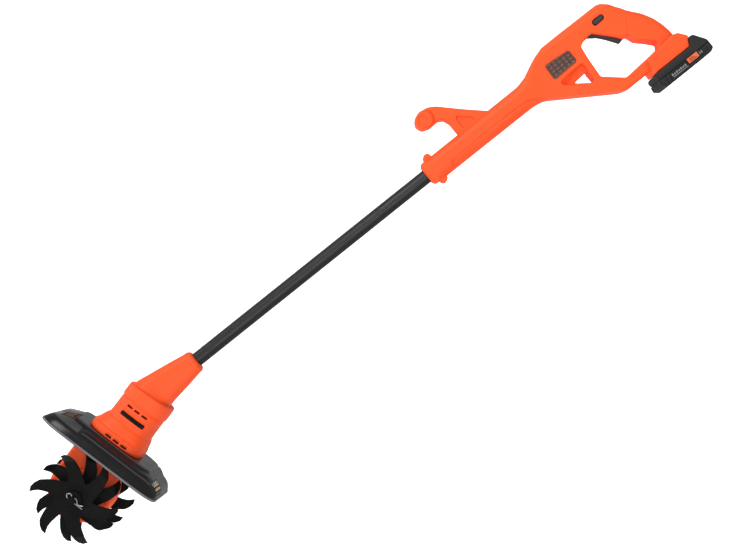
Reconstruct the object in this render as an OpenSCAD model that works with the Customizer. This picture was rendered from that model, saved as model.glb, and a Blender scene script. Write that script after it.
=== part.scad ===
// Battery garden tiller: long two-part tube, hooked handle with a D-shaped rear grip,
// motor head, guard and four six-blade tine wheels. Millimetres. Z up, Y forward.

/* [Tube] */
// Outer diameter of the long tube
tube_d = 22; // [18:0.5:26]
// Wall thickness of the tube
tube_wall = 1.5; // [1:0.1:2.5]
// Lean of the tube towards the user, in degrees
lean = 14.4; // [8:0.1:22]
// Distance along the tube from the motor head to the joint of its two lengths
joint_u = 391.7; // [250:1:430]

/* [Handle] */
// Distance along the tube from the motor head to the handle collar
collar_u = 456; // [430:1:500]
// Half thickness of the moulded grip loop
loop_half = 17; // [14:0.5:20]
// Half length of the round end of the hook
cross_half = 17; // [15:1:60]
// Radius of the cross grip
cross_r = 13.5; // [11:0.5:16]
// Half width of the battery pack
pack_half = 36; // [30:1:42]

/* [Motor head] */
// Outer radius of the motor barrel
barrel_r = 38.5; // [34:0.5:44]
// Half width of the flared base
base_r = 47; // [44:0.5:54]
// Wall thickness of the moulded shells
shell_wall = 2.6; // [2:0.1:4]

/* [Tines] */
// Tip radius of a tine wheel
tip_r = 68; // [60:1:75]
// Radius of the notch between two blades
notch_r = 27.6; // [24:0.2:34]
// Thickness of the blade steel
blade_t = 3; // [2:0.1:4]
// Distance from the middle to an outer wheel
outer_x = 70; // [64:1:76]
// Distance from the middle to an inner wheel
inner_x = 40; // [36:1:48]
// Radius of the tine shaft
shaft_r = 6.5; // [5:0.1:8]
// Bend of the blade tips, in degrees
tip_bend = 24; // [0:1:35]

/* [Guard] */
// Half width of the guard
guard_half = 82; // [78:1:90]
// Wall thickness of the guard
guard_wall = 3; // [2:0.1:4]

/* [Hidden] */
seam = 0.05;
tube_r = tube_d/2;
g_u = 862;
g_v = -18;
g_y = -g_u*sin(lean) + g_v*cos(lean);
g_z = g_u*cos(lean) + g_v*sin(lean);
ax_w = 14;
ax_z = -267;
base_z = -170.5;
base_w = 23.4;
barrel_w = 20.5;
mod_a = 1.1;
sun_n = 12;
planet_n = 18;
ring_n = 48;
orbit_r = mod_a*(sun_n + planet_n)/2;
mod_b = 1.5;
pinion_n = 10;
face_n = 40;
face_r = mod_b*face_n/2;
lock_u = 813;
lock_v = 22.5;
trig_u = 800;
trig_v = 4;
pack_u = -10;
cross_u = 505.5;
cross_v = 66.8;

// ---- frames -------------------------------------------------------------
module W() translate([0, -g_y, -g_z]) children();
module T() W() rotate([lean, 0, 0]) children();
// draws (y, z) outlines and pulls them along X
module ext(x0, x1) rotate([90, 0, 90]) translate([0, 0, x0]) linear_extrude(x1 - x0) children();
module xcyl(r, x0, x1, y, z, f = 48) translate([x0, y, z]) rotate([0, 90, 0]) cylinder(r = r, h = x1 - x0, $fn = f);
module left() intersection() { children(); translate([-200 - seam, -800, -1500]) cube([200, 1800, 2000]); }
module right() intersection() { children(); translate([seam, -800, -1500]) cube([200, 1800, 2000]); }

// ---- handle outlines, in (v, u) -----------------------------------------
module head_outline() polygon([[20.3,640],[20.6,656],[24,669],[30.5,684],[38.4,700],[43,714],[44,730],[43.7,773],[43.3,807],
 [42.9,824],[41,831],[36.5,837.5],[31,842.6],[23.3,847],[7.2,858.6],[-11.5,874],[-28.3,883.4],[-45.3,888.8],[-58.8,891.2],[-68,891.8],
 [-76,888],[-90,812],[-90.3,787],[-88.6,778],[-85.4,771.4],[-58.1,728.9],[-33.9,691.1],[-23.4,675.5],[-19.6,660],[-19.2,640]]);
module d_opening() polygon([[12.4,793],[12.4,781],[9,770.6],[3.4,765.9],[-13.7,763.9],[-46.1,761.6],[-50,762.8],[-72.2,789],[-74,795.4],
 [-71.3,835.7],[-69.7,855],[-67,860.2],[-62.4,862.7],[-58,861.4],[-49.7,853.3],[-38.3,841.6],[-31,837.3],[-24.6,834.8],[-14,826],[-3.9,815],[6.8,803]]);
module window() polygon([[-29,730.5],[-32.5,730.2],[-47.2,747.5],[-47.2,751.5],[-44.5,754.2],[-30,754.2],[-28,752],[-28,732]]);
module foot_outline() polygon([[-70,884],[-71.5,892.5],[-82,901.8],[-86,899.5],[-90,895.5],[-98.4,892.5],[-98.4,817],[-92,817],[-84.5,815],[-78,808]]);
module hook_outline() polygon([[10,536],[21.5,535.5],[44,534.2],[49,531.5],[52.6,527],[54,521],[53.4,511],[53.6,502],[58,495],[66,491.6],[74,493.4],[79.5,499],[80.9,506],
 [80,517],[76,530.5],[69.5,540],[59,552],[47.5,563.5],[33,580],[18.6,597.5],[10,604]]);
module hook_panel() polygon([[27,545],[55,541],[57,547],[36,572],[28,566]]);

// screw places in the handle, as [u, v]
hs = [[473.5,21.4],[473.5,-19.4],[672,14],[757,30],[836,26],[880,-62],[795,-80]];

module handle_solid() {
  T() translate([0, 0.6, collar_u + 3]) cylinder(r = 19.75, h = 220, $fn = 96);
  T() translate([0, 0.6, collar_u]) cylinder(r1 = 16.6, r2 = 19.75, h = 3.01, $fn = 96);
  T() ext(-loop_half, loop_half) difference() { head_outline(); d_opening(); window(); }
  T() ext(-32, 32) foot_outline();
  T() ext(-12.5, 12.5) hook_outline();
  for (v = [21.4, -19.4]) T() xcyl(6.2, -13, 13, v, 473.5);
}
module handle_hollow() {
  T() translate([0, 0, collar_u - 5]) cylinder(r = tube_r + 0.05, h = 69, $fn = 96);
  T() translate([0, 0.6, 519]) cylinder(r = 16.6, h = 140, $fn = 96);
  T() ext(-14, 14) polygon([[14,655],[30,700],[36,735],[36,770],[36,826],[30,838],[12,851],[-8,866],[-24,877],[-50,884],[-72,885],[-76,872],[-62,872.5],[-54,871.5],[-46,867.5],[-38,857.5],[-16,843],[-3,829],[7,818],[15,804],[15.4,781],[12,767],[0,759.4],[-18,758.2],[-12,730],[-14,700],[-14,655]]);
  T() ext(-28.5, 28.5) polygon([[-84,889.5],[-84,822],[-88,822],[-92,822],[-96.2,822],[-96.2,889.5]]);
  T() ext(-26.6, 26.6) polygon([[-92.4,850],[-96.2,850],[-96.2,905],[-92.4,905]]);
  T() ext(-19.6, 19.6) polygon([[-92.4,820.5],[-99,820.5],[-99,905],[-92.4,905]]);
  // hook panels
  for (s = [-1, 1]) T() translate([s*12.5, 0, 0]) ext(-1.6, 1.6) hook_panel();
  // recess for the cross grip, plates and lock bezel
  T() xcyl(cross_r + 0.05, -13, 13, cross_v, cross_u, 96);
  for (s = [-1, 1]) T() translate([s*loop_half, 0, 0]) ext(-1.2, 1.2) polygon([[19.4,709],[17.5,748],[-4.8,750],[-5.6,708.5]]);
  T() translate([-loop_half, 0, 0]) ext(-1, 4) lock_outline(0.1);
  // recess beside the window
  for (s = [-1, 1]) T() translate([s*loop_half, 0, 0]) ext(-1.4, 1.4) polygon([[-14,714],[-21,713.6],[-47,746],[-45,755.5],[-25,755.5],[-14,753]]);
  // trigger slot
  T() ext(-6.5, 6.5) polygon([[21,783],[21,821],[0,838],[-12,848],[-26,848],[-30,840],[-30,834],[-14,820],[2,802],[4,782]]);
  T() xcyl(4.3, 6.3, 12.8, 14, 791);
  T() xcyl(2.05, -15, 15, 14, 791);
  // screw ways
  for (p = hs) { T() xcyl(1.75, -loop_half + 4, 40, p[1], p[0], 24); T() xcyl(3.5, loop_half - 3 - (p[0] < 500 ? 4 : 0), 60, p[1], p[0], 32); }
}
module screw_posts() for (p = hs) if (p[0] > 500) T() difference() {
  xcyl(4.2, -loop_half + 1, loop_half - 1, p[1], p[0]);
  xcyl(1.75, -loop_half + 4, 40, p[1], p[0], 24);
  xcyl(3.5, loop_half - 3, 60, p[1], p[0], 32);
}
module handle_shell() { difference() { handle_solid(); handle_hollow(); } screw_posts(); }
module handle_shell_left() color([0.95,0.28,0.08]) left() handle_shell();
module handle_shell_right() color([0.95,0.28,0.08]) right() handle_shell();
module handle_screws() color([0.3,0.3,0.32]) for (p = hs) T() {
  h = loop_half - 3 - (p[0] < 500 ? 4 : 0);
  difference() { xcyl(3.1, h, h + 2.2, p[1], p[0], 32); xcyl(1.4, h + 1.1, h + 3, p[1], p[0], 6); }
  xcyl(1.65, -loop_half + 4.5, h + 0.5, p[1], p[0], 24);
}
module cross_grip() color([0.95,0.28,0.08]) T() difference() {
  xcyl(cross_r, -cross_half, cross_half, cross_v, cross_u, 96);
  for (s = [-1, 1]) translate([s*cross_half, 0, 0]) xcyl(cross_r - 3, -9, 9, cross_v, cross_u, 64);
}
module cross_cap(s) T() translate([s*(cross_half - 3), 0, 0]) difference() {
  xcyl(cross_r - 3.1, -1.5, 1.5, cross_v, cross_u, 64);
  translate([s*1.5, 0, 0]) xcyl(cross_r - 6, -0.6, 0.6, cross_v, cross_u, 64);
}
module cross_cap_left() color([0.9,0.25,0.07]) cross_cap(-1);
module cross_cap_right() color([0.9,0.25,0.07]) cross_cap(1);
module label_plate(s) T() translate([s*(loop_half - 0.6), 0, 0]) difference() {
  ext(-0.55, 0.55) polygon([[18.8,711],[16.9,746],[15,747.8],[-3,749.4],[-4.6,747.6],[-5.2,711],[-3.4,709],[17,709.4]]);
  translate([s*0.55, 0, 0]) ext(-0.25, 0.25) polygon([[16.6,713],[15,745.4],[-2.8,747],[-3.2,711.4]]);
}
module plate_left() color([0.12,0.12,0.13]) label_plate(-1);
module plate_right() color([0.12,0.12,0.13]) label_plate(1);
module lock_outline(g) { translate([lock_v, lock_u]) rotate(-3) { square([9.2 + 2*g, 11.6], center = true);
  for (s = [-1, 1]) translate([0, s*5.8]) circle(r = 4.6 + g, $fn = 48); } }
module lock_bezel() color([0.08,0.08,0.08]) T() difference() {
  translate([-loop_half, 0, 0]) ext(-0.9, 2.9) lock_outline(0);
  translate([-loop_half, 0, 0]) ext(-2, 4) lock_outline(-1.4);
}
module lock_button() color([0.5,0.5,0.5]) T() translate([-loop_half, 0, 0]) {
  ext(-0.6, 2.8) lock_outline(-1.75);
  ext(2.7, 4.2) lock_outline(-2.4);
}
module trigger() color([0.06,0.06,0.06]) T() difference() {
  union() {
    ext(-5.4, 5.4) polygon([[13,788],[18,791],[17.5,797],[14,803],[8,809],[-6,822],[-15,827],[-21,828.2],[-24.6,826.4],[-25.8,822],[-24,818.4],[-9.4,808.6],[3.2,797.5],[6,789]]);
    xcyl(4.2, -5.4, 5.4, 14, 791);
  }
  xcyl(2.06, -6, 6, 14, 791);
}
module trigger_pin() color([0.7,0.7,0.7]) T() xcyl(2, -14.9, 14.9, 14, 791);
module trigger_spring() color([0.7,0.7,0.7]) T() for (i = [0:4]) translate([6.8 + i*1.15, 14, 791]) rotate([0, 90, 0]) rotate_extrude($fn = 48) translate([3, 0]) circle(r = 0.5, $fn = 16);
module switch_module() color([0.1,0.1,0.1]) T() {
  translate([0, 26, 777]) cube([18, 14, 30], center = true);
  translate([0, 25, 794]) cube([6, 5, 5], center = true);
}
module control_board() color([0.05,0.3,0.12]) T() {
  translate([2, 6, 712]) cube([1.6, 24, 62], center = true);
  for (p = [[0,690],[-4,706],[5,722]]) translate([5.3, 6 + p[0], p[1]]) cube([5, 8, 10], center = true);
  translate([5.8, 10, 738]) rotate([0, 90, 0]) cylinder(r = 4, h = 6, center = true, $fn = 40);
}
module terminal_block() color([0.1,0.1,0.1]) T() translate([0, 0, pack_u]) {
  translate([0, -88, 866]) cube([46, 7, 30], center = true);
  for (x = [-15, -5, 5, 15]) translate([x, -90, 847]) cube([1, 4.6, 10], center = true);
}
module power_lead() color([0.15,0.15,0.15]) T() translate([2, -4, -50]) cylinder(r = 2.4, h = 718, $fn = 24);

// ---- battery pack -------------------------------------------------------
module pack_cover() color([0.13,0.14,0.14]) T() translate([0, 0, pack_u]) difference() {
  union() {
    difference() {
      ext(-pack_half, pack_half) polygon([[-99,828.5],[-99,902],[-91.5,907.5],[-86,913],[-93,924.4],[-105.5,930.6],[-110,930.6],[-110,821.5],[-101,821.5]]);
      ext(-32.5, 32.5) polygon([[-90,820],[-90,903.2],[-98.8,903.2],[-98.8,820]]);
    }
    ext(-19, 19) polygon([[-99.2,832],[-95,832],[-95,896],[-99.2,896]]);
    ext(-26, 26) polygon([[-95.6,832],[-93,832],[-93,896],[-95.6,896]]);
  }
  ext(-33, 33) polygon([[-103,826],[-103,918],[-104.8,924.2],[-111,924.2],[-111,826]]);
  for (x = [-15, -5, 5, 15]) translate([x, -95, 846]) cube([2.4, 12, 30], center = true);
  // seat of the latch key
  translate([0, -90.8, 917.9]) rotate([32, 0, 0]) cube([24.6, 9, 12], center = true);
}
module pack_tub() color([0.1,0.1,0.1]) T() translate([0, 0, pack_u]) difference() {
  ext(-pack_half, pack_half) polygon([[-110.1,821.2],[-110.1,930.8],[-118.9,931.1],[-122.8,929.5],[-125.3,925.5],[-125.3,830.7],[-124.4,826.9],[-119.2,820.8]]);
  ext(-pack_half + 2.4, pack_half - 2.4) polygon([[-110,824],[-110,928],[-119,928],[-122.6,924],[-122.6,831],[-118,824]]);
}
module pack_cells() color([0.1,0.45,0.25]) T() translate([0, 0, pack_u]) for (i = [0:4]) xcyl(9, -32.4, 32.4, -113.2, 837.5 + i*19, 48);
module pack_label() color([0.85,0.85,0.83]) T() translate([0, 0, pack_u]) for (s = [-1, 1]) translate([s*(pack_half + 0.25), 0, 0]) ext(-0.2, 0.2) polygon([[-112.5,846],[-112.5,892],[-122.5,892],[-122.5,846]]);
module pack_latch() color([0.5,0.12,0.05]) T() translate([0, 0, pack_u]) translate([0, -91.4, 917.5]) rotate([32, 0, 0]) cube([24, 5.4, 11.2], center = true);

// ---- tubes --------------------------------------------------------------
module upper_tube() color([0.09,0.09,0.09]) T() {
  difference() { translate([0, 0, joint_u + 0.2]) cylinder(r = tube_r, h = 518 - joint_u, $fn = 96); translate([0, 0, 330]) cylinder(r = tube_r - tube_wall, h = 240, $fn = 96); }
  difference() {
    translate([0, 0, joint_u - 62]) cylinder(r = tube_r - tube_wall - 0.05, h = 70, $fn = 96);
    translate([0, 0, 320]) cylinder(r = tube_r - tube_wall - 1.4, h = 100, $fn = 96);
    xcyl(4.3, -20, 0, 1.1, 363.2, 40);
  }
  difference() { translate([0, 0, joint_u + 0.2]) cylinder(r = tube_r - 0.5, h = 8, $fn = 96); translate([0, 0, joint_u - 2]) cylinder(r = tube_r - tube_wall - 1.4, h = 12, $fn = 96); }
}
module lower_tube() color([0.09,0.09,0.09]) T() difference() {
  translate([0, 0, -58]) cylinder(r = tube_r, h = joint_u + 58, $fn = 96);
  translate([0, 0, -60]) cylinder(r = tube_r - tube_wall, h = joint_u + 70, $fn = 96);
  xcyl(4.3, -20, 0, 1.1, 363.2, 40);
}
module snap_spring() color([0.7,0.7,0.7]) T() {
  translate([-1.6, -1.4 + 1.1, 352]) cube([0.6, 3, 22]);
  translate([-4.6, -1.4 + 1.1, 374]) rotate([0, -9, 0]) cube([0.6, 3, 14]);
}
module snap_button() color([0.75,0.75,0.76]) T() xcyl(4.2, -12.6, -6.2, 1.1, 363.2, 40);

// ---- motor head ---------------------------------------------------------
module base_prism(h, z0, r, o) translate([0, base_w, z0]) { linear_extrude(h) square([2*r, 2*(r - o)], center = true); linear_extrude(h) square([2*(r - o), 2*r], center = true);
  for (x = [-1, 1]) for (y = [-1, 1]) translate([x*(r - o), y*(r - o), 0]) cylinder(r = o, h = h, $fn = 64); }
module base_side(o) polygon([[-17+o,-136],[-17+o,-143],[-21+o,-149],[-23+o,-156],[base_w-base_r+o,-163],[base_w-base_r+o,base_z+(o>0?3:0)],[base_w+base_r-o,base_z+(o>0?3:0)],[base_w+base_r-1-o,-164],[66-o,-157],[60.5-o,-149],[57.8-o,-143],[57.8-o,-136]]);
module base_front(o) polygon([[-37+o,-136],[-37+o,-143],[-41+o,-149],[-45+o,-156],[-base_r+o,-163],[-base_r+o,base_z-1],[base_r-o,base_z-1],[base_r-o,-163],[45-o,-156],[41-o,-149],[37-o,-143],[37-o,-136]]);
module base_form(o) intersection() {
  ext(-80, 80) base_side(o);
  translate([0, 140, 0]) rotate([90, 0, 0]) linear_extrude(240) base_front(o);
  base_prism(60, -190, base_r - o, 20 - o);
}
module motor_solid() {
  // taper that holds the tube
  T() rotate_extrude($fn = 96) polygon([[0,-100],[36.5,-98],[33,-88],[28.6,-74],[18.6,-10],[18.2,-4],[16.6,0],[0,0]]);
  W() translate([0, barrel_w, 0]) rotate_extrude($fn = 96) polygon([[0,-82],[31,-82.5],[36.5,-85],[barrel_r+0.5,-89],[barrel_r+0.5,-104],[barrel_r-0.5,-105.2],[barrel_r-0.5,-140],[0,-140]]);
  W() base_form(0);
}
module motor_hollow() {
  T() translate([0, 0, -60]) cylinder(r = tube_r + 0.05, h = 70, $fn = 96);
  T() rotate_extrude($fn = 96) polygon([[0,-104],[33,-99],[30,-88],[26,-74],[24,-61],[0,-61]]);
  W() translate([0, barrel_w, 0]) rotate_extrude($fn = 96) polygon([[0,-88],[33.5,-88],[barrel_r-3,-93],[barrel_r-3,-150],[0,-150]]);
  W() intersection() { base_form(shell_wall); translate([-100, -100, -200]) cube([200, 300, 58]); }
  W() translate([0, ax_w, base_z - 1]) cylinder(r = 31.1, h = 20, $fn = 72);
  for (p = gs) W() translate([p[0], p[1], -186]) cylinder(r = 1.95, h = 30, $fn = 24);
  // air slots
  for (s = [-1, 1]) for (i = [0:2]) {
    W() translate([s*34, 34.4 - i*13.6, -111]) cube([24, 10, 3], center = true);
    W() translate([s*46, 34 - i*14.2, -165]) cube([14, 10.6, 3], center = true);
  }
  for (s = [-1, 1]) W() translate([s*34, 19.7, -126.8]) cube([24, 42.4, 6.8], center = true);
  for (p = ms) { W() xcyl(1.75, -20, 40, p[0], p[1], 24); W() xcyl(3.5, p[2], 60, p[0], p[1], 32); }
}
// screws of the motor shells, as [w, z, head seat]
ms = [[27.85,-39.3,9],[-5.5,-47.9,9],[53,-118.5,13],[60,-160,22]];
module motor_posts() for (p = ms) W() intersection() {
  difference() { xcyl(4.4, -p[2] - 6, p[2] + 2, p[0], p[1], 40); xcyl(1.75, -20, 40, p[0], p[1], 24); xcyl(3.5, p[2], 60, p[0], p[1], 32); }
  translate([0, 20.5, -100]) cube([84, 87, 140], center = true);
}
module motor_shell() { difference() { motor_solid(); motor_hollow(); } intersection() { motor_posts(); motor_solid(); } }
module motor_shell_left() color([0.95,0.28,0.08]) left() motor_shell();
module motor_shell_right() color([0.95,0.28,0.08]) right() motor_shell();
module motor_screws() color([0.3,0.3,0.32]) for (p = ms) W() {
  difference() { xcyl(3.1, p[2], p[2] + 2.2, p[0], p[1], 32); xcyl(1.4, p[2] + 1.1, p[2] + 3, p[0], p[1], 6); }
  xcyl(1.65, -14, p[2] + 0.5, p[0], p[1], 24);
}
module grille(s) W() difference() {
  intersection() {
    translate([s*34, 19.7, -126.8]) cube([24, 42.3, 6.7], center = true);
    translate([0, barrel_w, -140]) difference() { cylinder(r = barrel_r - 1, h = 20, $fn = 96); translate([0, 0, -1]) cylinder(r = barrel_r - 3, h = 30, $fn = 96); }
  }
  for (i = [0:8]) translate([s*34, 3.7 + i*4, -126.8]) cube([30, 2, 4.4], center = true);
}
module intake_grille_left() color([0.05,0.05,0.05]) grille(-1);
module intake_grille_right() color([0.05,0.05,0.05]) grille(1);
module motor_can() color([0.6,0.6,0.62]) W() translate([0, ax_w, -139]) difference() { cylinder(r = 25, h = 44, $fn = 72); translate([0, 0, -1]) cylinder(r = 23, h = 42.5, $fn = 72); cylinder(r = 5, h = 50, $fn = 32); }
module motor_cap() color([0.15,0.15,0.16]) W() translate([0, ax_w, -143]) difference() { cylinder(r = 25, h = 3.9, $fn = 72); translate([0, 0, -1]) cylinder(r = 3.06, h = 8, $fn = 40); }
module motor_shaft() color([0.75,0.75,0.75]) W() translate([0, ax_w, 0]) {
  translate([0, 0, -157]) cylinder(r = 3, h = 72, $fn = 40);
  translate([0, 0, -156.5]) linear_extrude(11) gear2d(sun_n, mod_a, 0.7, 1.05);
}
module armature() color([0.55,0.3,0.12]) W() translate([0, ax_w, 0]) difference() {
  union() { translate([0, 0, -134]) cylinder(r = 18, h = 28, $fn = 64); translate([0, 0, -106]) cylinder(r = 9, h = 7, $fn = 48); for (i = [0:5]) rotate(i*60) translate([13, 0, -137]) cylinder(r = 4.5, h = 34, $fn = 24); }
  translate([0, 0, -140]) cylinder(r = 3, h = 60, $fn = 40);
}
module fan() color([0.1,0.1,0.1]) W() translate([0, ax_w, 0]) {
  difference() { union() { translate([0, 0, -94]) cylinder(r = 8, h = 7, $fn = 48); translate([0, 0, -94]) cylinder(r = 20, h = 1.4, $fn = 64); for (i = [0:8]) rotate(i*40) translate([7, -0.6, -93]) cube([13, 1.2, 6]); }
    translate([0, 0, -96]) cylinder(r = 3, h = 20, $fn = 40); }
}

// ---- gears --------------------------------------------------------------
module gear2d(n, m, add, ded, w = 0.40) polygon([for (i = [0:n-1]) let (p = 360/n, a = i*p, rr = n*m/2 - ded*m, rt = n*m/2 + add*m)
  each [[rr*cos(a - p*(w+0.2)/2), rr*sin(a - p*(w+0.2)/2)], [rt*cos(a - p*(w-0.18)/2), rt*sin(a - p*(w-0.18)/2)],
        [rt*cos(a + p*(w-0.18)/2), rt*sin(a + p*(w-0.18)/2)], [rr*cos(a + p*(w+0.2)/2), rr*sin(a + p*(w+0.2)/2)]]]);
module gearbox_cover() color([0.55,0.55,0.57]) W() translate([0, ax_w, -145.2]) difference() { cylinder(r = 28.1, h = 2, $fn = 72); translate([0, 0, -1]) cylinder(r = 5, h = 6, $fn = 40); }
module ring_gear() color([0.5,0.5,0.52]) W() translate([0, ax_w, -158]) difference() {
  cylinder(r = 29.3, h = 12.7, $fn = 72);
  translate([0, 0, -1]) linear_extrude(20) rotate(3.75) gear2d(ring_n, mod_a, 1.05, 0.7, 0.60);
}
module planet(i) W() translate([0, ax_w, 0]) rotate(i*120) translate([orbit_r, 0, -156]) rotate(190) difference() {
  linear_extrude(10) gear2d(planet_n, mod_a, 0.7, 1.05);
  translate([0, 0, -1]) cylinder(r = 2.55, h = 14, $fn = 32);
}
module planet_a() color([0.8,0.75,0.6]) planet(0);
module planet_b() color([0.8,0.75,0.6]) planet(1);
module planet_c() color([0.8,0.75,0.6]) planet(2);
module carrier() color([0.6,0.6,0.62]) W() translate([0, ax_w, 0]) {
  difference() { translate([0, 0, -162]) cylinder(r = 22, h = 4.6, $fn = 64); translate([0, 0, -163]) cylinder(r = 4.5, h = 8, $fn = 40); }
  for (i = [0:2]) rotate(i*120) translate([orbit_r, 0, -158]) cylinder(r = 2.5, h = 12, $fn = 32);
}
module output_shaft() color([0.7,0.7,0.7]) W() translate([0, ax_w, 0]) {
  translate([0, 0, -241]) cylinder(r = 4.5, h = 83, $fn = 40);
  translate([0, 0, -241]) linear_extrude(8) rotate(18) gear2d(pinion_n, mod_b, 0.7, 1.05);
}
module gearbox_plate() color([0.55,0.55,0.57]) W() translate([0, ax_w, base_z + 0.1]) difference() { cylinder(r = 31, h = 4, $fn = 72); translate([0, 0, -1]) cylinder(r = 9, h = 8, $fn = 40); }
module output_bearing() color([0.75,0.75,0.76]) W() translate([0, ax_w, -181]) difference() { cylinder(r = 8.95, h = 14, $fn = 48); translate([0, 0, -1]) cylinder(r = 4.56, h = 16, $fn = 40); }

// ---- gear case ----------------------------------------------------------
module case_outline() { translate([19, -264]) circle(r = 50, $fn = 96);
  polygon([[66,-173.6],[69.5,-196],[69.2,-262],[-30.6,-262],[-27,-236],[-14,-214],[-12,-181],[-24,-181],[-24,-173.6]]); }
cs = [[60,-180],[-4,-180],[61,-288],[-23,-288],[19,-308]];
module case_solid() { W() ext(-24, 24) case_outline(); for (s = [-1, 1]) W() xcyl(16, min(0, s*28), max(0, s*28), ax_w, ax_z, 64); }
module case_hollow() {
  W() xcyl(42, -20, 20, 15.5, -266, 96);
  W() translate([0, ax_w, -212]) cube([32, 34, 74], center = true);
  W() translate([0, ax_w, -183]) cylinder(r = 9, h = 23, $fn = 48);
  W() xcyl(10, -40, 40, ax_w, ax_z, 48);
  for (p = cs) { W() xcyl(1.75, -18, 40, p[0], p[1], 24); W() xcyl(3.4, 20, 60, p[0], p[1], 32); }
  for (p = gs) W() translate([p[0], p[1], -186]) cylinder(r = 1.95, h = 30, $fn = 24);
}
module gear_case() difference() { case_solid(); case_hollow(); }
module gear_case_left() color([0.95,0.28,0.08]) left() gear_case();
module gear_case_right() color([0.95,0.28,0.08]) right() gear_case();
module gear_case_screws() color([0.3,0.3,0.32]) for (p = cs) W() {
  difference() { xcyl(3, 20, 22.2, p[0], p[1], 32); xcyl(1.4, 21.2, 23, p[0], p[1], 6); }
  xcyl(1.65, -17, 20.5, p[0], p[1], 24);
}
module face_gear() color([0.6,0.58,0.5]) W() translate([0, ax_w, ax_z]) {
  difference() { union() { xcyl(35.5, -14.5, -9.2, 0, 0, 96); xcyl(12, -18, -7, 0, 0, 48); } xcyl(shaft_r, -20, 0, 0, 0, 48); }
  for (i = [0:face_n-1]) rotate([i*360/face_n, 0, 0]) translate([-9.3, -0.7, 25.8]) cube([2.7, 1.4, 8.6]);
}
module tine_shaft() color([0.7,0.7,0.72]) W() difference() {
  union() { xcyl(shaft_r, -89, 89, ax_w, ax_z, 48); xcyl(shaft_r - 0.5, -96, 96, ax_w, ax_z, 48); }
  for (s = [-1, 1]) translate([s*86, ax_w, ax_z]) rotate([-90, 0, 0]) cylinder(r = 1.8, h = 30, center = true, $fn = 24);
}
module bushings() color([0.75,0.6,0.3]) for (s = [-1, 1]) W() difference() { xcyl(9.95, min(s*20.5, s*27.5), max(s*20.5, s*27.5), ax_w, ax_z, 48); xcyl(shaft_r + 0.05, -40, 40, ax_w, ax_z, 48); }

// ---- guard --------------------------------------------------------------
gs = [[18,54],[-18,54],[18,-16.8],[-18,-16.8]];
module guard_side(o) polygon([[127-o,-201+(o>0?-5:0)],[126.4-o,-196],[122.6-o,-188.5],[115.6-o*0.9,-182-o*0.4],[106-o*0.7,-176.8-o*0.8],[95-o*0.4,-173-o],[82,-171.2-o],[70,base_z-o],[-32,base_z-o],
 [-45,-171.8-o],[-57+o*0.4,-175.4-o],[-67+o*0.7,-180.6-o*0.8],[-75.5+o*0.9,-187.4-o*0.5],[-81+o,-194.5],[-83+o,-198+(o>0?-9:0)],[-60,-201+(o>0?-5:0)]]);
module guard_front(o) polygon([[-guard_half+o,-210],[-guard_half+o,-190],[-guard_half+1.4+o,-185],[-guard_half+5+o*0.8,-179.5-o*0.6],[-guard_half+11+o*0.5,-175-o*0.9],[-guard_half+20,-172-o],[-guard_half+30,base_z-o],
 [guard_half-30,base_z-o],[guard_half-20,-172-o],[guard_half-11-o*0.5,-175-o*0.9],[guard_half-5-o*0.8,-179.5-o*0.6],[guard_half-1.4-o,-185],[guard_half-o,-190],[guard_half-o,-210]]);
module guard_form(o) intersection() {
  ext(-90, 90) guard_side(o);
  translate([0, 140, 0]) rotate([90, 0, 0]) linear_extrude(240) guard_front(o);
}
module guard() color([0.07,0.07,0.08]) W() difference() {
  guard_form(0);
  guard_form(guard_wall);
  translate([0, ax_w, -180]) cylinder(r = 9.2, h = 20, $fn = 48);
  for (p = gs) translate([p[0], p[1], -186]) cylinder(r = 1.95, h = 30, $fn = 24);
}
module guard_plate_front() color([0.35,0.3,0.26]) W() translate([-38, 88.5, -171.8]) rotate([-7.9, 0, 0]) cube([26, 12, 0.5], center = true);
module guard_plate_rear() color([0.75,0.75,0.72]) W() translate([-20, -78.47, -190.75]) rotate([-37.77, 0, 0]) cube([50, 0.5, 7.6], center = true);
module guard_screws() color([0.5,0.5,0.52]) for (p = gs) W() translate([p[0], p[1], 0]) {
  translate([0, 0, -180.5]) cylinder(r = 1.9, h = 13.1, $fn = 24);
  translate([0, 0, -167.45]) cylinder(r = 3.3, h = 2.4, $fn = 32);
}

// ---- tine wheels --------------------------------------------------------
function pp(a, r) = [r*cos(a), r*sin(a)];
// outline of one blade, from its notch to the next, as [angle, radius]
blade_pts = [[1, notch_r], [8, notch_r+2.8], [15, notch_r+6.6], [21, notch_r+11.2], [26, notch_r+16.4], [31, notch_r+21.8], [35, tip_r-13.8], [39, tip_r-8.6], [45, tip_r-3.6],
  [51, tip_r-0.2], [57, tip_r-0.4], [55.5, tip_r-4.6], [53.8, tip_r-11], [52.8, notch_r+20.4], [53, notch_r+10.4], [54.2, notch_r+4.8], [57, notch_r+1.2]];
module star2d() polygon([for (k = [0:5]) each [for (q = blade_pts) pp(q[0] + 60*k, q[1])]]);
crease = tip_r - 12;
module star() {
  linear_extrude(blade_t, center = true) difference() { star2d(); for (k = [0:5]) rotate(45 + 60*k) translate([crease, -20]) square([40, 40]); }
  for (k = [0:5]) rotate([0, 0, 45 + 60*k]) translate([crease, 0, 0]) rotate([0, k % 2 == 0 ? tip_bend : -tip_bend, 0])
    linear_extrude(blade_t - 0.2, center = true) polygon([[-0.4,-8.2],[3.1,-6.2],[8.4,0],[11.4,7.1],[10.1,14.05],[6.3,11.55],[0.3,8.7],[-0.4,8.6]]);
}
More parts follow.
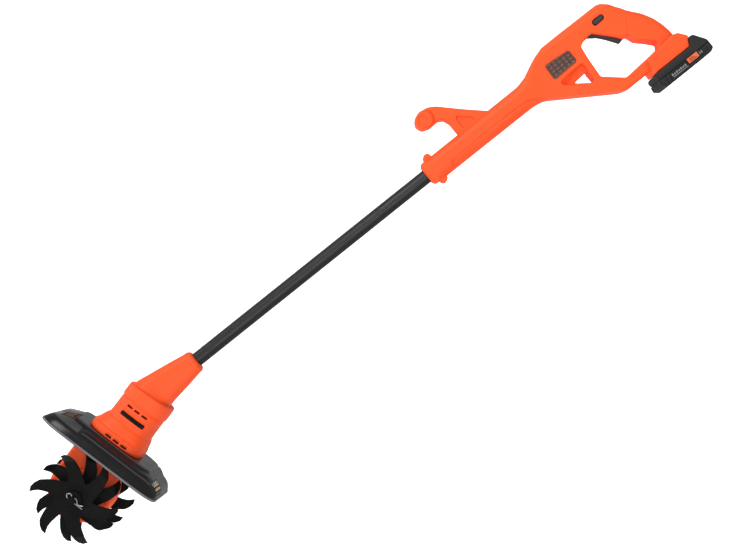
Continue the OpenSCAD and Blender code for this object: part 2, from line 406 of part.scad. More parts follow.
// x: place, ph: turn of the wheel, s: side, hi and ho: hub lengths inwards and outwards
module tine(x, ph, s, hi, ho) W() translate([x, ax_w, ax_z]) rotate([0, 90, 0]) rotate([0, 0, 90]) mirror([1, 0, 0]) difference() {
  union() {
    rotate([0, 0, ph]) star();
    translate([0, 0, s > 0 ? -hi : -ho]) cylinder(r = 13, h = hi + ho, $fn = 48);
    cylinder(r = 20, h = 5, center = true, $fn = 64);
  }
  cylinder(r = shaft_r + 0.02, h = 60, center = true, $fn = 48);
}
module tine_outer_left() color([0.12,0.12,0.12]) tine(-outer_x, 28.8, -1, 15, 11.5);
module tine_inner_left() color([0.12,0.12,0.12]) tine(-inner_x, 2, -1, 11.6, 14.8);
module tine_inner_right() color([0.12,0.12,0.12]) tine(inner_x, 0, 1, 11.6, 14.8);
module tine_outer_right() color([0.12,0.12,0.12]) tine(outer_x, 24, 1, 15, 11.5);
module hitch_pin(s) W() translate([s*86, ax_w, ax_z]) {
  rotate([-90, 0, 0]) translate([0, 0, -21]) cylinder(r = 1.5, h = 31, $fn = 24);
  rotate([0, 90, 0]) translate([-3.4, 12.4, 0]) rotate_extrude($fn = 48) translate([3.6, 0]) circle(r = 1.3, $fn = 16);
}
module hitch_pins() color([0.8,0.8,0.8]) for (s = [-1, 1]) hitch_pin(s);

handle_shell_left();
handle_shell_right();
handle_screws();
cross_grip();
cross_cap_left();
cross_cap_right();
plate_left();
plate_right();
lock_bezel();
lock_button();
trigger();
trigger_pin();
trigger_spring();
switch_module();
control_board();
terminal_block();
power_lead();
pack_cover();
pack_tub();
pack_cells();
pack_label();
pack_latch();
upper_tube();
lower_tube();
snap_spring();
snap_button();
motor_shell_left();
motor_shell_right();
motor_screws();
intake_grille_left();
intake_grille_right();
motor_can();
motor_cap();
motor_shaft();
armature();
fan();
gearbox_cover();
ring_gear();
planet_a();
planet_b();
planet_c();
carrier();
output_shaft();
output_bearing();
gearbox_plate();
gear_case_left();
gear_case_right();
gear_case_screws();
face_gear();
tine_shaft();
bushings();
guard();
guard_plate_front();
guard_plate_rear();
guard_screws();
tine_outer_left();
tine_inner_left();
tine_inner_right();
tine_outer_right();
hitch_pins();
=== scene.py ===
import math

import bpy
import numpy as np
from mathutils import Matrix, Vector
from mathutils.geometry import delaunay_2d_cdt


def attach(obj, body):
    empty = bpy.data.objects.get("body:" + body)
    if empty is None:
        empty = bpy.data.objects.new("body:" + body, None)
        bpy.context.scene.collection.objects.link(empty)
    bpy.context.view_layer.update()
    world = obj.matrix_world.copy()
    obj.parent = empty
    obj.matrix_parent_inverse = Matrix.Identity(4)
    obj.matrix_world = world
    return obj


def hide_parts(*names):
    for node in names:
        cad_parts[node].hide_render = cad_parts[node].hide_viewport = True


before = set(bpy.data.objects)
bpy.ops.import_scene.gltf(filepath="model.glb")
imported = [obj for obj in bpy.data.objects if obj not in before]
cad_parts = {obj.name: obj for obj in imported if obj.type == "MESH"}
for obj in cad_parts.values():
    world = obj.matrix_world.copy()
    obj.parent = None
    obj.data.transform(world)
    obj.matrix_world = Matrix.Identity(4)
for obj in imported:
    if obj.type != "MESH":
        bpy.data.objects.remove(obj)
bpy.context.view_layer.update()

# ---------------------------------------------------------------- frames (mm in, metres out)
LEAN = math.radians(14.4)
SA, CA = math.sin(LEAN), math.cos(LEAN)
G_U, G_V = 862.0, -18.0
G_Y = -G_U * SA + G_V * CA
G_Z = G_U * CA + G_V * SA


def tf(x, v, u):
    """A place along the tube: x across, v forward of the tube, u up along it."""
    x, v, u = np.asarray(x, float), np.asarray(v, float), np.asarray(u, float)
    return np.stack(np.broadcast_arrays(x, -u * SA + v * CA - G_Y, u * CA + v * SA - G_Z), -1) / 1000


def wf(x, w, z):
    """A place in the motor head: x across, w forward, z up."""
    x, w, z = np.asarray(x, float), np.asarray(w, float), np.asarray(z, float)
    return np.stack(np.broadcast_arrays(x, w - G_Y, z - G_Z), -1) / 1000


# ---------------------------------------------------------------- materials
def material(name, base, rough=0.45, metallic=0.0, coat=0.0, spec=0.5, bump=0.0, scale=900.0,
             mottle=0.0, mottle_scale=30.0, wear=0.0, dust=0.0, dust_col=(0.45, 0.4, 0.34), stretch=(1, 1, 1), sub=0.0):
    m = bpy.data.materials.new(name)
    m.use_nodes = True
    nt = m.node_tree
    N, L = nt.nodes, nt.links
    b = N["Principled BSDF"]
    b.inputs["Base Color"].default_value = (*base, 1)
    b.inputs["Roughness"].default_value = rough
    b.inputs["Metallic"].default_value = metallic
    b.inputs["Coat Weight"].default_value = coat
    b.inputs["Coat Roughness"].default_value = 0.12
    b.inputs["Specular IOR Level"].default_value = spec
    if sub:
        b.inputs["Subsurface Weight"].default_value = sub
        b.inputs["Subsurface Radius"].default_value = (0.004, 0.0015, 0.0008)
        b.inputs["Subsurface Scale"].default_value = 1.0
    tc = N.new("ShaderNodeTexCoord")
    mp = N.new("ShaderNodeMapping")
    mp.inputs["Scale"].default_value = stretch
    L.new(tc.outputs["Object"], mp.inputs["Vector"])
    colour = None
    if mottle:
        n = N.new("ShaderNodeTexNoise")
        n.inputs["Scale"].default_value = mottle_scale
        n.inputs["Detail"].default_value = 5
        L.new(mp.outputs["Vector"], n.inputs["Vector"])
        mr = N.new("ShaderNodeMapRange")
        mr.inputs["From Min"].default_value = 0.3
        mr.inputs["From Max"].default_value = 0.7
        mr.inputs["To Min"].default_value = -mottle
        mr.inputs["To Max"].default_value = mottle
        L.new(n.outputs["Fac"], mr.inputs["Value"])
        hs = N.new("ShaderNodeHueSaturation")
        hs.inputs["Color"].default_value = (*base, 1)
        ad = N.new("ShaderNodeMath")
        ad.operation = "ADD"
        ad.inputs[1].default_value = 1.0
        L.new(mr.outputs["Result"], ad.inputs[0])
        L.new(ad.outputs["Value"], hs.inputs["Value"])
        colour = hs.outputs["Color"]
        ra = N.new("ShaderNodeMath")
        ra.operation = "MULTIPLY_ADD"
        ra.inputs[1].default_value = 1.2
        ra.inputs[2].default_value = rough
        L.new(mr.outputs["Result"], ra.inputs[0])
        L.new(ra.outputs["Value"], b.inputs["Roughness"])
    if dust:
        n2 = N.new("ShaderNodeTexNoise")
        n2.inputs["Scale"].default_value = 55
        n2.inputs["Detail"].default_value = 8
        n2.inputs["Roughness"].default_value = 0.7
        L.new(tc.outputs["Object"], n2.inputs["Vector"])
        r2 = N.new("ShaderNodeMapRange")
        r2.inputs["From Min"].default_value = 0.5
        r2.inputs["From Max"].default_value = 0.85
        r2.inputs["To Max"].default_value = dust
        L.new(n2.outputs["Fac"], r2.inputs["Value"])
        mx = N.new("ShaderNodeMix")
        mx.data_type = "RGBA"
        mx.inputs["B"].default_value = (*dust_col, 1)
        if colour is not None:
            L.new(colour, mx.inputs["A"])
        else:
            mx.inputs["A"].default_value = (*base, 1)
        L.new(r2.outputs["Result"], mx.inputs["Factor"])
        colour = mx.outputs["Result"]
    if colour is not None:
        L.new(colour, b.inputs["Base Color"])
    if bump:
        n3 = N.new("ShaderNodeTexNoise")
        n3.inputs["Scale"].default_value = scale
        n3.inputs["Detail"].default_value = 3
        L.new(mp.outputs["Vector"], n3.inputs["Vector"])
        bp = N.new("ShaderNodeBump")
        bp.inputs["Strength"].default_value = bump
        bp.inputs["Distance"].default_value = 0.0004
        L.new(n3.outputs["Fac"], bp.inputs["Height"])
        L.new(bp.outputs["Normal"], b.inputs["Normal"])
    return m


ORANGE = material("orange_plastic", (0.95, 0.088, 0.014), rough=0.46, spec=0.28, bump=0.2, scale=1500, mottle=0.02, mottle_scale=14)
ORANGE_IN = material("orange_shadow", (0.55, 0.05, 0.01), rough=0.6)
BLACK = material("black_plastic", (0.016, 0.016, 0.017), rough=0.42, bump=0.3, scale=1400, mottle=0.05)
DEEP = material("deep_black", (0.004, 0.004, 0.004), rough=0.8)
TRIG = material("trigger_black", (0.02, 0.02, 0.021), rough=0.33, bump=0.2, scale=1200)
GREY = material("grey_plastic", (0.03, 0.03, 0.03), rough=0.5, bump=0.3, scale=1200)
PLATE = material("plate_dark", (0.045, 0.03, 0.026), rough=0.4)
PLATE_RIM = material("plate_rim", (0.16, 0.05, 0.028), rough=0.42)
TUBE = material("tube_coat", (0.017, 0.017, 0.018), rough=0.33, spec=0.4, bump=0.35, scale=1800, mottle=0.06, mottle_scale=60, coat=0.0)
TINE = material("tine_coat", (0.0035, 0.0034, 0.0033), rough=0.4, spec=0.14, bump=0.3, scale=700, mottle=0.1, mottle_scale=45, dust=0.012)
SCREW = material("screw_black", (0.09, 0.09, 0.095), rough=0.35, metallic=0.9, bump=0.2, scale=1500)
ZINC = material("zinc", (0.6, 0.6, 0.58), rough=0.3, metallic=1.0, bump=0.2, scale=900)
STEEL = material("steel", (0.45, 0.45, 0.46), rough=0.3, metallic=1.0, bump=0.2, scale=800, mottle=0.06)
BRONZE = material("bronze", (0.6, 0.4, 0.18), rough=0.35, metallic=1.0)
COPPER = material("copper", (0.65, 0.3, 0.14), rough=0.35, metallic=1.0)
# guard lip: a light grey base colour on the lower edge rows, a painted highlight along the black guard's rim
LIP_HIGHLIGHT = material("guard_lip_painted_highlight", (0.14, 0.14, 0.145), rough=0.3, spec=0.6)
# guard edge: a lighter grey base colour, painted highlight lines on the deck edge and along the flank
EDGE_HIGHLIGHT = material("guard_edge_painted_highlight", (0.055, 0.055, 0.057), rough=0.25, spec=0.6)
# guard nose: glossier than the guard, with a lighter base colour that paints part of the nose highlight
NOSE_HIGHLIGHT = material("guard_gloss_painted_highlight", (0.03, 0.03, 0.031), rough=0.1, spec=0.9, coat=0.6)
GUARD = material("guard_black", (0.008, 0.008, 0.009), rough=0.2, spec=0.42, mottle=0.04)
PACK = material("pack_charcoal", (0.012, 0.013, 0.013), rough=0.5, spec=0.35, bump=0.4, scale=1300, mottle=0.05)
PACK_TOP = material("pack_top", (0.014, 0.015, 0.015), rough=0.5, spec=0.35, bump=0.3, scale=1300)
CELL = material("cell_wrap", (0.05, 0.3, 0.14), rough=0.3)
BOARD = material("board", (0.02, 0.16, 0.06), rough=0.35)
STICKER = material("sticker", (0.42, 0.41, 0.36), rough=0.45)
AMBER = material("amber_mark", (0.55, 0.36, 0.03), rough=0.45)
BRICK = material("brick_mark", (0.16, 0.045, 0.02), rough=0.45)
PATCH = material("patch_orange", (0.78, 0.13, 0.035), rough=0.45)
BAR = material("bar_grey", (0.2, 0.2, 0.2), rough=0.5)

NODE_MAT = {"handle_screws": SCREW, "cross_cap_left": ORANGE, "cross_cap_right": ORANGE, "lock_bezel": DEEP,
            "lock_button": GREY, "trigger_pin": STEEL, "trigger_spring": ZINC, "switch_module": BLACK, "control_board": BOARD,
            "terminal_block": BLACK, "power_lead": BLACK, "pack_cells": CELL, "pack_label": STICKER,
            "upper_tube": TUBE, "lower_tube": TUBE, "snap_spring": STEEL, "snap_button": BLACK, "motor_screws": SCREW,
            "intake_grille_left": DEEP, "intake_grille_right": DEEP, "motor_can": STEEL, "motor_cap": BLACK, "motor_shaft": STEEL,
            "armature": COPPER, "fan": BLACK, "gearbox_cover": STEEL, "ring_gear": STEEL, "planet_a": STEEL, "planet_b": STEEL,
            "planet_c": STEEL, "carrier": STEEL, "output_shaft": STEEL, "output_bearing": STEEL, "gearbox_plate": STEEL,
            "gear_case_screws": SCREW, "face_gear": STEEL, "tine_shaft": TINE, "bushings": BRONZE, "guard_plate_front": PLATE,
            "guard_plate_rear": STICKER, "guard_screws": SCREW, "tine_outer_left": TINE, "tine_inner_left": TINE,
            "tine_inner_right": TINE, "tine_outer_right": TINE, "hitch_pins": ZINC, "plate_left": PLATE, "plate_right": PLATE,
            "pack_latch": ORANGE, "handle_shell_left": ORANGE, "handle_shell_right": ORANGE, "cross_grip": ORANGE,
            "trigger": TRIG, "pack_cover": PACK_TOP, "pack_tub": PACK, "motor_shell_left": ORANGE, "motor_shell_right": ORANGE,
            "gear_case_left": ORANGE, "gear_case_right": ORANGE, "guard": GUARD}
for n, m in NODE_MAT.items():
    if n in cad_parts:
        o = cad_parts[n]
        o.data.materials.clear()
        o.data.materials.append(m)


def soften(node, width, segments=3, angle=35):
    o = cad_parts[node]
    b = o.modifiers.new("edge", "BEVEL")
    b.width = width / 1000
    b.segments = segments
    b.limit_method = "ANGLE"
    b.angle_limit = math.radians(angle)
    b.harden_normals = True


for n in ("tine_outer_left", "tine_inner_left", "tine_inner_right", "tine_outer_right"):
    soften(n, 0.5, 2, 50)
for n in ("lock_button", "lock_bezel", "plate_left", "plate_right", "snap_button", "guard_plate_front", "guard_plate_rear"):
    soften(n, 0.25, 2, 50)
soften("pack_latch", 0.8, 3, 50)


# ---------------------------------------------------------------- outline tools
def spline(pts, step=1.2, closed=True, sigma=0.0, corners=()):
    """Catmull-Rom through the points, resampled evenly; corners are kept sharp by their index."""
    p = np.asarray(pts, float)
    n = len(p)
    out = []
    for i in range(n if closed else n - 1):
        p0, p1, p2, p3 = p[(i - 1) % n], p[i], p[(i + 1) % n], p[(i + 2) % n]
        if not closed:
            p0 = p[max(i - 1, 0)]
            p3 = p[min(i + 2, n - 1)]
        if i in corners:
            p0 = p1
        if (i + 1) % n in corners:
            p3 = p2
        a, b, c = np.linalg.norm(p1 - p0) ** 0.5, np.linalg.norm(p2 - p1) ** 0.5, np.linalg.norm(p3 - p2) ** 0.5
        a, c = max(a, 1e-3), max(c, 1e-3)
        m1 = (p2 - p1) + b * ((p1 - p0) / a - (p2 - p0) / (a + b)) if a > 1e-2 else (p2 - p1)
        m2 = (p2 - p1) + b * ((p3 - p2) / c - (p3 - p1) / (b + c)) if c > 1e-2 else (p2 - p1)
        k = max(2, int(np.ceil(np.linalg.norm(p2 - p1) / 0.25)))
        t = np.arange(k)[:, None] / k
        out.append((2 * t**3 - 3 * t**2 + 1) * p1 + (t**3 - 2 * t**2 + t) * m1 + (-2 * t**3 + 3 * t**2) * p2 + (t**3 - t**2) * m2)
    if not closed:
        out.append(p[-1:])
    q = np.concatenate(out)
    if closed:
        q = np.vstack([q, q[:1]])
    s = np.concatenate([[0], np.cumsum(np.linalg.norm(np.diff(q, axis=0), axis=1))])
    k = max(8, int(round(s[-1] / step)))
    t = np.linspace(0, s[-1], k + 1)
    r = np.stack([np.interp(t, s, q[:, 0]), np.interp(t, s, q[:, 1])], 1)
    if closed:
        r = r[:-1]
        if sigma:
            h = int(np.ceil(3 * sigma / step))
            w = np.exp(-0.5 * (np.arange(-h, h + 1) * step / sigma) ** 2)
            w /= w.sum()
            r = sum(wi * np.roll(r, k2, axis=0) for wi, k2 in zip(w, range(-h, h + 1)))
    return r


def seg_dist(P, loop, closed=True):
    """Distance from points P to an evenly stepped polyline: nearest corner first, then the four sides round it."""
    loop = np.asarray(loop, float)
    n = len(loop)
    out = np.empty(len(P))
    l2 = (loop**2).sum(1)
    for i in range(0, len(P), 6000):
        q = P[i:i + 6000]
        k = (l2[None] - 2 * q @ loop.T).argmin(1)
        best = np.full(len(q), 1e18)
        for j in (-2, -1, 0, 1):
            a, b = (k + j) % n, (k + j + 1) % n
            if not closed:
                a, b = np.clip(k + j, 0, n - 1), np.clip(k + j + 1, 0, n - 1)
            pa, ab = loop[a], loop[b] - loop[a]
            d = q - pa
            t = np.clip((d * ab).sum(1) / np.maximum((ab**2).sum(1), 1e-12), 0, 1)
            e = d - t[:, None] * ab
            best = np.minimum(best, (e**2).sum(1))
        out[i:i + 6000] = np.sqrt(best)
    return out


def inside(P, loop):
    P, loop = np.asarray(P, float), np.asarray(loop, float)
    r = np.zeros(len(P), bool)
    x1, y1 = loop[:, 0], loop[:, 1]
    x2, y2 = np.roll(x1, -1), np.roll(y1, -1)
    dy = np.where(y2 == y1, 1e-12, y2 - y1)
    for i in range(0, len(P), 6000):
        x, y = P[i:i + 6000, :1], P[i:i + 6000, 1:]
        hit = ((y1 > y) != (y2 > y)) & (x < (x2 - x1) * (y - y1) / dy + x1)
        r[i:i + 6000] = hit.sum(1) % 2 == 1
    return r


def smoothstep(a, b, x):
    t = np.clip((x - a) / (b - a), 0, 1)
    return t * t * (3 - 2 * t)


def make_mesh(name, verts, faces, normals=None, mats=(), smooth=True, face_mat=None):
    me = bpy.data.meshes.new(name)
    me.from_pydata([tuple(v) for v in verts], [], [tuple(int(i) for i in f) for f in faces])
    me.validate()
    if smooth:
        me.polygons.foreach_set("use_smooth", [True] * len(me.polygons))
    for m in mats:
        me.materials.append(m)
    if face_mat is not None and len(face_mat) == len(me.polygons):
        me.polygons.foreach_set("material_index", [int(k) for k in face_mat])
    if normals is not None:
        me.normals_split_custom_set_from_vertices([tuple(v) for v in normals])
    me.update()
    o = bpy.data.objects.new(name, me)
    bpy.context.scene.collection.objects.link(o)
    return o


def ccw(loop):
    a = 0.5 * np.sum(loop[:, 0] * np.roll(loop[:, 1], -1) - np.roll(loop[:, 0], -1) * loop[:, 1])
    return loop if a > 0 else loop[::-1]


def pillow(name, outer, holes, side, to3, hw, fx, fd, mats, extra=None, grid=2.0, dense=(), gap=0.12, face_pick=None, back=True, hole_fillet=()):
    """A moulded half: an outline in (a, b), a wall at the seam, then a rounded shoulder fd wide and fx deep up to half thickness hw.
    hw, fx and fd may be functions of the points. extra(points) is taken off the surface. dense lists polylines to follow closely."""
    loops = [ccw(outer)] + [ccw(h)[::-1] for h in holes]
    f = lambda q: (lambda P: q(P)) if callable(q) else (lambda P: np.full(len(P), float(q)))
    HW, FX, FD = f(hw), f(fx), f(fd)

    def dist(P):
        return np.min([seg_dist(P, l) for l in loops], axis=0)

    def is_in(P):
        r = inside(P, loops[0])
        for h in loops[1:]:
            r &= ~inside(P, h)
        return r

    def height(P, d=None):
        d = dist(P) if d is None else d
        if not hole_fillet:
            t = np.clip(d / np.maximum(FD(P), 1e-6), 0, 1)
            h = HW(P) - FX(P) + FX(P) * np.sqrt(np.maximum(1 - (1 - t) ** 2, 0))
        else:
            t = np.clip(seg_dist(P, loops[0]) / np.maximum(FD(P), 1e-6), 0, 1)
            h = HW(P) - FX(P) + FX(P) * np.sqrt(np.maximum(1 - (1 - t) ** 2, 0))
            for r, l in zip(hole_fillet, loops[1:]):
                t = np.clip(seg_dist(P, l) / r, 0, 1)
                h = np.minimum(h, HW(P) - r + r * np.sqrt(np.maximum(1 - (1 - t) ** 2, 0)))
        if extra is not None:
            h = h - extra(P, d)
        return np.maximum(h, 0.0)

    edge, edge_n = [], []
    for l in loops:
        t = np.roll(l, -1, axis=0) - np.roll(l, 1, axis=0)
        t /= np.linalg.norm(t, axis=1)[:, None]
        edge.append(l)
        edge_n.append(np.stack([-t[:, 1], t[:, 0]], 1))  # towards the inside
    E, En = np.vstack(edge), np.vstack(edge_n)
    pts = [E]
    fd_e = FD(E)
    fx_e = FX(E)
    if hole_fillet:
        k0 = len(loops[0])
        for r, l in zip(hole_fillet, loops[1:]):
            fd_e[k0:k0 + len(l)] = r
            fx_e[k0:k0 + len(l)] = r
            k0 += len(l)
    for k in range(1, 9):
        c = 1 - math.cos(k * math.pi / 16)
        q = E + En * (fd_e * c)[:, None]
        if c * fd_e.mean() < 2.5:
            sel = slice(None)
        else:
            sel = slice(None, None, 2)
        q, want = q[sel], (fd_e * c)[sel]
        ok = is_in(q)
        q, want = q[ok], want[ok]
        pts.append(q[np.abs(dist(q) - want) < 0.08 * want + 0.03])
    for line in dense:
        line = np.asarray(line, float)
        t = np.gradient(line, axis=0)
        t /= np.maximum(np.linalg.norm(t, axis=1)[:, None], 1e-9)
        nn = np.stack([-t[:, 1], t[:, 0]], 1)
        for off in (-1.6, -1.0, -0.55, 0.0, 0.55, 1.0, 1.6):
            pts.append(line + nn * off)
    x0, y0 = loops[0].min(0)
    x1, y1 = loops[0].max(0)
    gx, gy = np.meshgrid(np.arange(x0, x1, grid), np.arange(y0, y1, grid * 0.866), indexing="ij")
    gx = gx + (np.arange(gx.shape[1]) % 2)[None] * grid / 2
    G = np.stack([gx.ravel(), gy.ravel()], 1)
    G = G[is_in(G)]
    G = G[dist(G) > 0.9]
    P = np.vstack(pts[1:])
    P = P[is_in(P)]
    P = P[dist(P) > 0.04]
    # thin the inner points on a fine raster so no two lie closer than about 0.4 mm
    key = np.round(P / 0.35).astype(np.int64)
    _, first = np.unique(key[:, 0] * 1000003 + key[:, 1], return_index=True)
    P = P[np.sort(first)]
    cell = {(int(a), int(b)) for a, b in np.floor(P / 1.1)}
    keep = [i for i, (a, b) in enumerate(np.floor(G / 1.1).astype(int)) if (int(a), int(b)) not in cell]
    inner = np.vstack([P, G[keep]])
    allp = np.vstack([E, inner])
    edges, base = [], 0
    for l in loops:
        n = len(l)
        edges += [(base + i, base + (i + 1) % n) for i in range(n)]
        base += n
    res = delaunay_2d_cdt([Vector(p) for p in allp], edges, [], 0, 1e-5)
    V = np.array([tuple(v) for v in res[0]])
    F = np.array([tuple(t) for t in res[2]])
    cen = V[F].mean(1)
    F = F[is_in(cen)]
    a2 = V[F]
    area = (a2[:, 1, 0] - a2[:, 0, 0]) * (a2[:, 2, 1] - a2[:, 0, 1]) - (a2[:, 2, 0] - a2[:, 0, 0]) * (a2[:, 1, 1] - a2[:, 0, 1])
    F = F[np.abs(area) > 1e-7]
    area = area[np.abs(area) > 1e-7]
    F[area < 0] = F[area < 0][:, ::-1]
    d = dist(V)
    on_edge = d < 1e-3
    h = height(V, d)
    e = 0.12
    hx = (height(V + [e, 0]) - height(V - [e, 0])) / (2 * e)
    hy = (height(V + [0, e]) - height(V - [0, e])) / (2 * e)
    nrm = np.stack([np.full(len(V), 1.0), -hx, -hy], 1)
    nrm /= np.linalg.norm(nrm, axis=1)[:, None]
    # at the rim the normal looks straight out of the outline
    from_e = {}
    for i, p in enumerate(E):
        from_e[(round(p[0], 4), round(p[1], 4))] = -En[i]
    for i in np.nonzero(on_edge)[0]:
        n2 = from_e.get((round(V[i, 0], 4), round(V[i, 1], 4)))
        if n2 is not None:
            nrm[i] = (0.0, n2[0], n2[1])
    top = np.stack([gap + h, V[:, 0], V[:, 1]], 1)
    verts = [top]
    norms = [nrm]
    faces = [list(t) for t in F]
    mat = list(face_pick(V[F].mean(1))) if face_pick else [0] * len(F)
    # wall down to the seam
    base = len(top)
    n_e = len(E)
    low = np.stack([np.full(n_e, gap), E[:, 0], E[:, 1]], 1)
    rim = np.stack([gap + np.maximum(height(E, np.zeros(n_e)), 0), E[:, 0], E[:, 1]], 1)
    wn = np.stack([np.zeros(n_e), -En[:, 0], -En[:, 1]], 1)
    verts += [rim, low]
    norms += [wn, wn]
    k0 = 0
    for l in loops:
        n = len(l)
        for i in range(n):
            j = (i + 1) % n
            a, b = base + k0 + i, base + k0 + j
            c, dd = base + n_e + k0 + j, base + n_e + k0 + i
            faces.append([a, dd, c, b])
            mat.append(0)
        k0 += n
    base2 = base + 2 * n_e
    if back:
        res2 = delaunay_2d_cdt([Vector(p) for p in E], edges, [], 0, 1e-5)
        V2 = np.array([tuple(v) for v in res2[0]])
        F2 = np.array([tuple(t) for t in res2[2]])
        F2 = F2[is_in(V2[F2].mean(1))]
        verts.append(np.stack([np.full(len(V2), gap), V2[:, 0], V2[:, 1]], 1))
        norms.append(np.tile([-1.0, 0, 0], (len(V2), 1)))
        for t in F2:
            q = V2[t]
            ar = (q[1, 0] - q[0, 0]) * (q[2, 1] - q[0, 1]) - (q[2, 0] - q[0, 0]) * (q[1, 1] - q[0, 1])
            t = list(t) if ar < 0 else list(t[::-1])
            faces.append([base2 + int(i) for i in t])
            mat.append(0)
    verts, norms = np.vstack(verts), np.vstack(norms)
    if side < 0:
        verts[:, 0] *= -1
        norms[:, 0] *= -1
        faces = [f[::-1] for f in faces]
    W3 = to3(verts[:, 0], verts[:, 1], verts[:, 2])
    o3 = to3(0, 0, 0)
    ex, ea, eb = (to3(1, 0, 0) - o3) * 1000, (to3(0, 1, 0) - o3) * 1000, (to3(0, 0, 1) - o3) * 1000
    N3 = norms[:, :1] * ex + norms[:, 1:2] * ea + norms[:, 2:3] * eb
    return make_mesh(name, W3, faces, N3, mats, True, mat)


def lathe(name, prof, centre, axis, mats, seg=96, to3=wf, smooth_angle=None):
    """A turned piece: prof is [(along, radius)...] in mm, centre in the mm frame of to3, axis a 3-vector in that frame."""
    prof = np.asarray(prof, float)
    ax = np.asarray(axis, float) / np.linalg.norm(axis)
    t = np.array([0, 0, 1.0]) if abs(ax[2]) < 0.9 else np.array([0, 1.0, 0])
    e1 = np.cross(ax, t)
    e1 /= np.linalg.norm(e1)
    e2 = np.cross(ax, e1)
    th = np.arange(seg) / seg * 2 * math.pi
    vs = []
    for s, r in prof:
        vs.append(np.asarray(centre)[None] + ax[None] * s + r * (np.cos(th)[:, None] * e1 + np.sin(th)[:, None] * e2))
    V = np.vstack(vs)
    W3 = to3(V[:, 0], V[:, 1], V[:, 2])
    F = []
    for i in range(len(prof) - 1):
        for j in range(seg):
            k = (j + 1) % seg
            F.append((i * seg + j, i * seg + k, (i + 1) * seg + k, (i + 1) * seg + j))
    o = make_mesh(name, W3, F, None, mats)
    return o


def boolean_cut(obj, cutters):
    for i, c in enumerate(cutters):
        b = obj.modifiers.new("cut%d" % i, "BOOLEAN")
        b.operation = "DIFFERENCE"
        b.solver = "EXACT"
        b.object = c
    dg = bpy.context.evaluated_depsgraph_get()
    me = bpy.data.meshes.new_from_object(obj.evaluated_get(dg))
    obj.modifiers.clear()
    obj.data = me
    for c in cutters:
        bpy.data.objects.remove(c)


def block(name, x0, x1, a0, a1, b0, b1, mats, to3=wf, r=0.0, seg=4):
    """A box with rounded corners in the (a, b) plane."""
    if r <= 0:
        loop = [(a0, b0), (a1, b0), (a1, b1), (a0, b1)]
    else:
        loop = []
        for cx, cy, s in ((a1 - r, b0 + r, -90), (a1 - r, b1 - r, 0), (a0 + r, b1 - r, 90), (a0 + r, b0 + r, 180)):
            for k in range(seg + 1):
                t = math.radians(s + 90 * k / seg)
                loop.append((cx + r * math.cos(t), cy + r * math.sin(t)))
    loop = np.array(loop)
    x0, x1 = min(x0, x1), max(x0, x1)
    n = len(loop)
    V = np.vstack([np.column_stack([np.full(n, x0), loop]), np.column_stack([np.full(n, x1), loop])])
    F = [list(range(n))[::-1], list(range(n, 2 * n))] + [[i, (i + 1) % n, n + (i + 1) % n, n + i] for i in range(n)]
    return make_mesh(name, to3(V[:, 0], V[:, 1], V[:, 2]), F, None, mats, False)


# ---------------------------------------------------------------- handle
def rounded(pts, step=1.0):
    """A closed outline from (a, b, fillet radius) corners, stepped evenly."""
    n = len(pts)
    out = []
    for i in range(n):
        p = np.array(pts[i][:2], float)
        a = np.array(pts[i - 1][:2], float)
        c = np.array(pts[(i + 1) % n][:2], float)
        r = pts[i][2] if len(pts[i]) > 2 else 0.0
        u, w = a - p, c - p
        lu, lw = np.linalg.norm(u), np.linalg.norm(w)
        u, w = u / lu, w / lw
        ang = math.acos(max(-1, min(1, float(u @ w))))
        if r < 1e-6 or abs(math.pi - ang) < 0.02:
            out.append(p)
            continue
        t = min(r / math.tan(ang / 2), 0.48 * lu, 0.48 * lw)
        r = t * math.tan(ang / 2)
        cen = p + (u + w) / np.linalg.norm(u + w) * (r / math.sin(ang / 2))
        s, e = p + u * t, p + w * t
        a0, a1 = math.atan2(*(s - cen)[::-1]), math.atan2(*(e - cen)[::-1])
        d = (a1 - a0 + math.pi) % (2 * math.pi) - math.pi
        k = max(3, int(abs(d) * r / 0.4), int(abs(d) / 0.2))
        for j in range(k + 1):
            q = a0 + d * j / k
            out.append(cen + r * np.array([math.cos(q), math.sin(q)]))
    q = np.array(out)
    q = np.vstack([q, q[:1]])
    s = np.concatenate([[0], np.cumsum(np.linalg.norm(np.diff(q, axis=0), axis=1))])
    keep = np.concatenate([[True], np.diff(s) > 1e-6])
    q, s = q[keep], s[keep]
    k = max(8, int(round(s[-1] / step)))
    t = np.linspace(0, s[-1], k + 1)[:-1]
    return np.stack([np.interp(t, s, q[:, 0]), np.interp(t, s, q[:, 1])], 1)


HEAD = [(0.6, 459, 0), (11, 458.6, 3), (18.4, 461.5, 4), (19.8, 467, 6), (20.0, 600, 0), (20.2, 652, 40), (24.5, 670, 40), (38.2, 699, 40), (43.8, 718, 20), (43.9, 745, 0), (43.3, 806, 0), (43.1, 825.5, 5),
        (40.6, 831.8, 4), (31.9, 842.0, 14), (23.3, 847.0, 20), (7.2, 858.6, 40), (-11.5, 874.0, 40), (-28.3, 883.2, 40), (-45.3, 888.6, 40), (-60, 891.0, 30), (-73, 891.0, 4), (-86, 880, 4),
        (-90.2, 830, 10), (-90.0, 806, 0), (-90.3, 786.5, 8), (-86.2, 772.2, 8), (-58.1, 728.9, 0), (-33.9, 691.1, 60), (-22.5, 673.5, 40), (-19.4, 655, 30), (-19.2, 600, 0), (-19.0, 467, 6), (-17.4, 461.5, 4), (-10, 458.6, 3)]
D_OPEN = [(13, 793, 2), (12.4, 780, 7), (7, 766.8, 6), (-15, 763.8, 0), (-48.6, 761.4, 3.5), (-74.4, 791.0, 6), (-71.3, 836, 0), (-69.2, 859.5, 4), (-62.6, 864.6, 4), (-49.7, 853.0, 20), (-37.5, 840.4, 14), (-24.4, 835.6, 1.5), (-22.9, 825.4, 2),
          (-14.6, 819.2, 8), (-3.9, 809.6, 0), (6.8, 799.5, 0)]
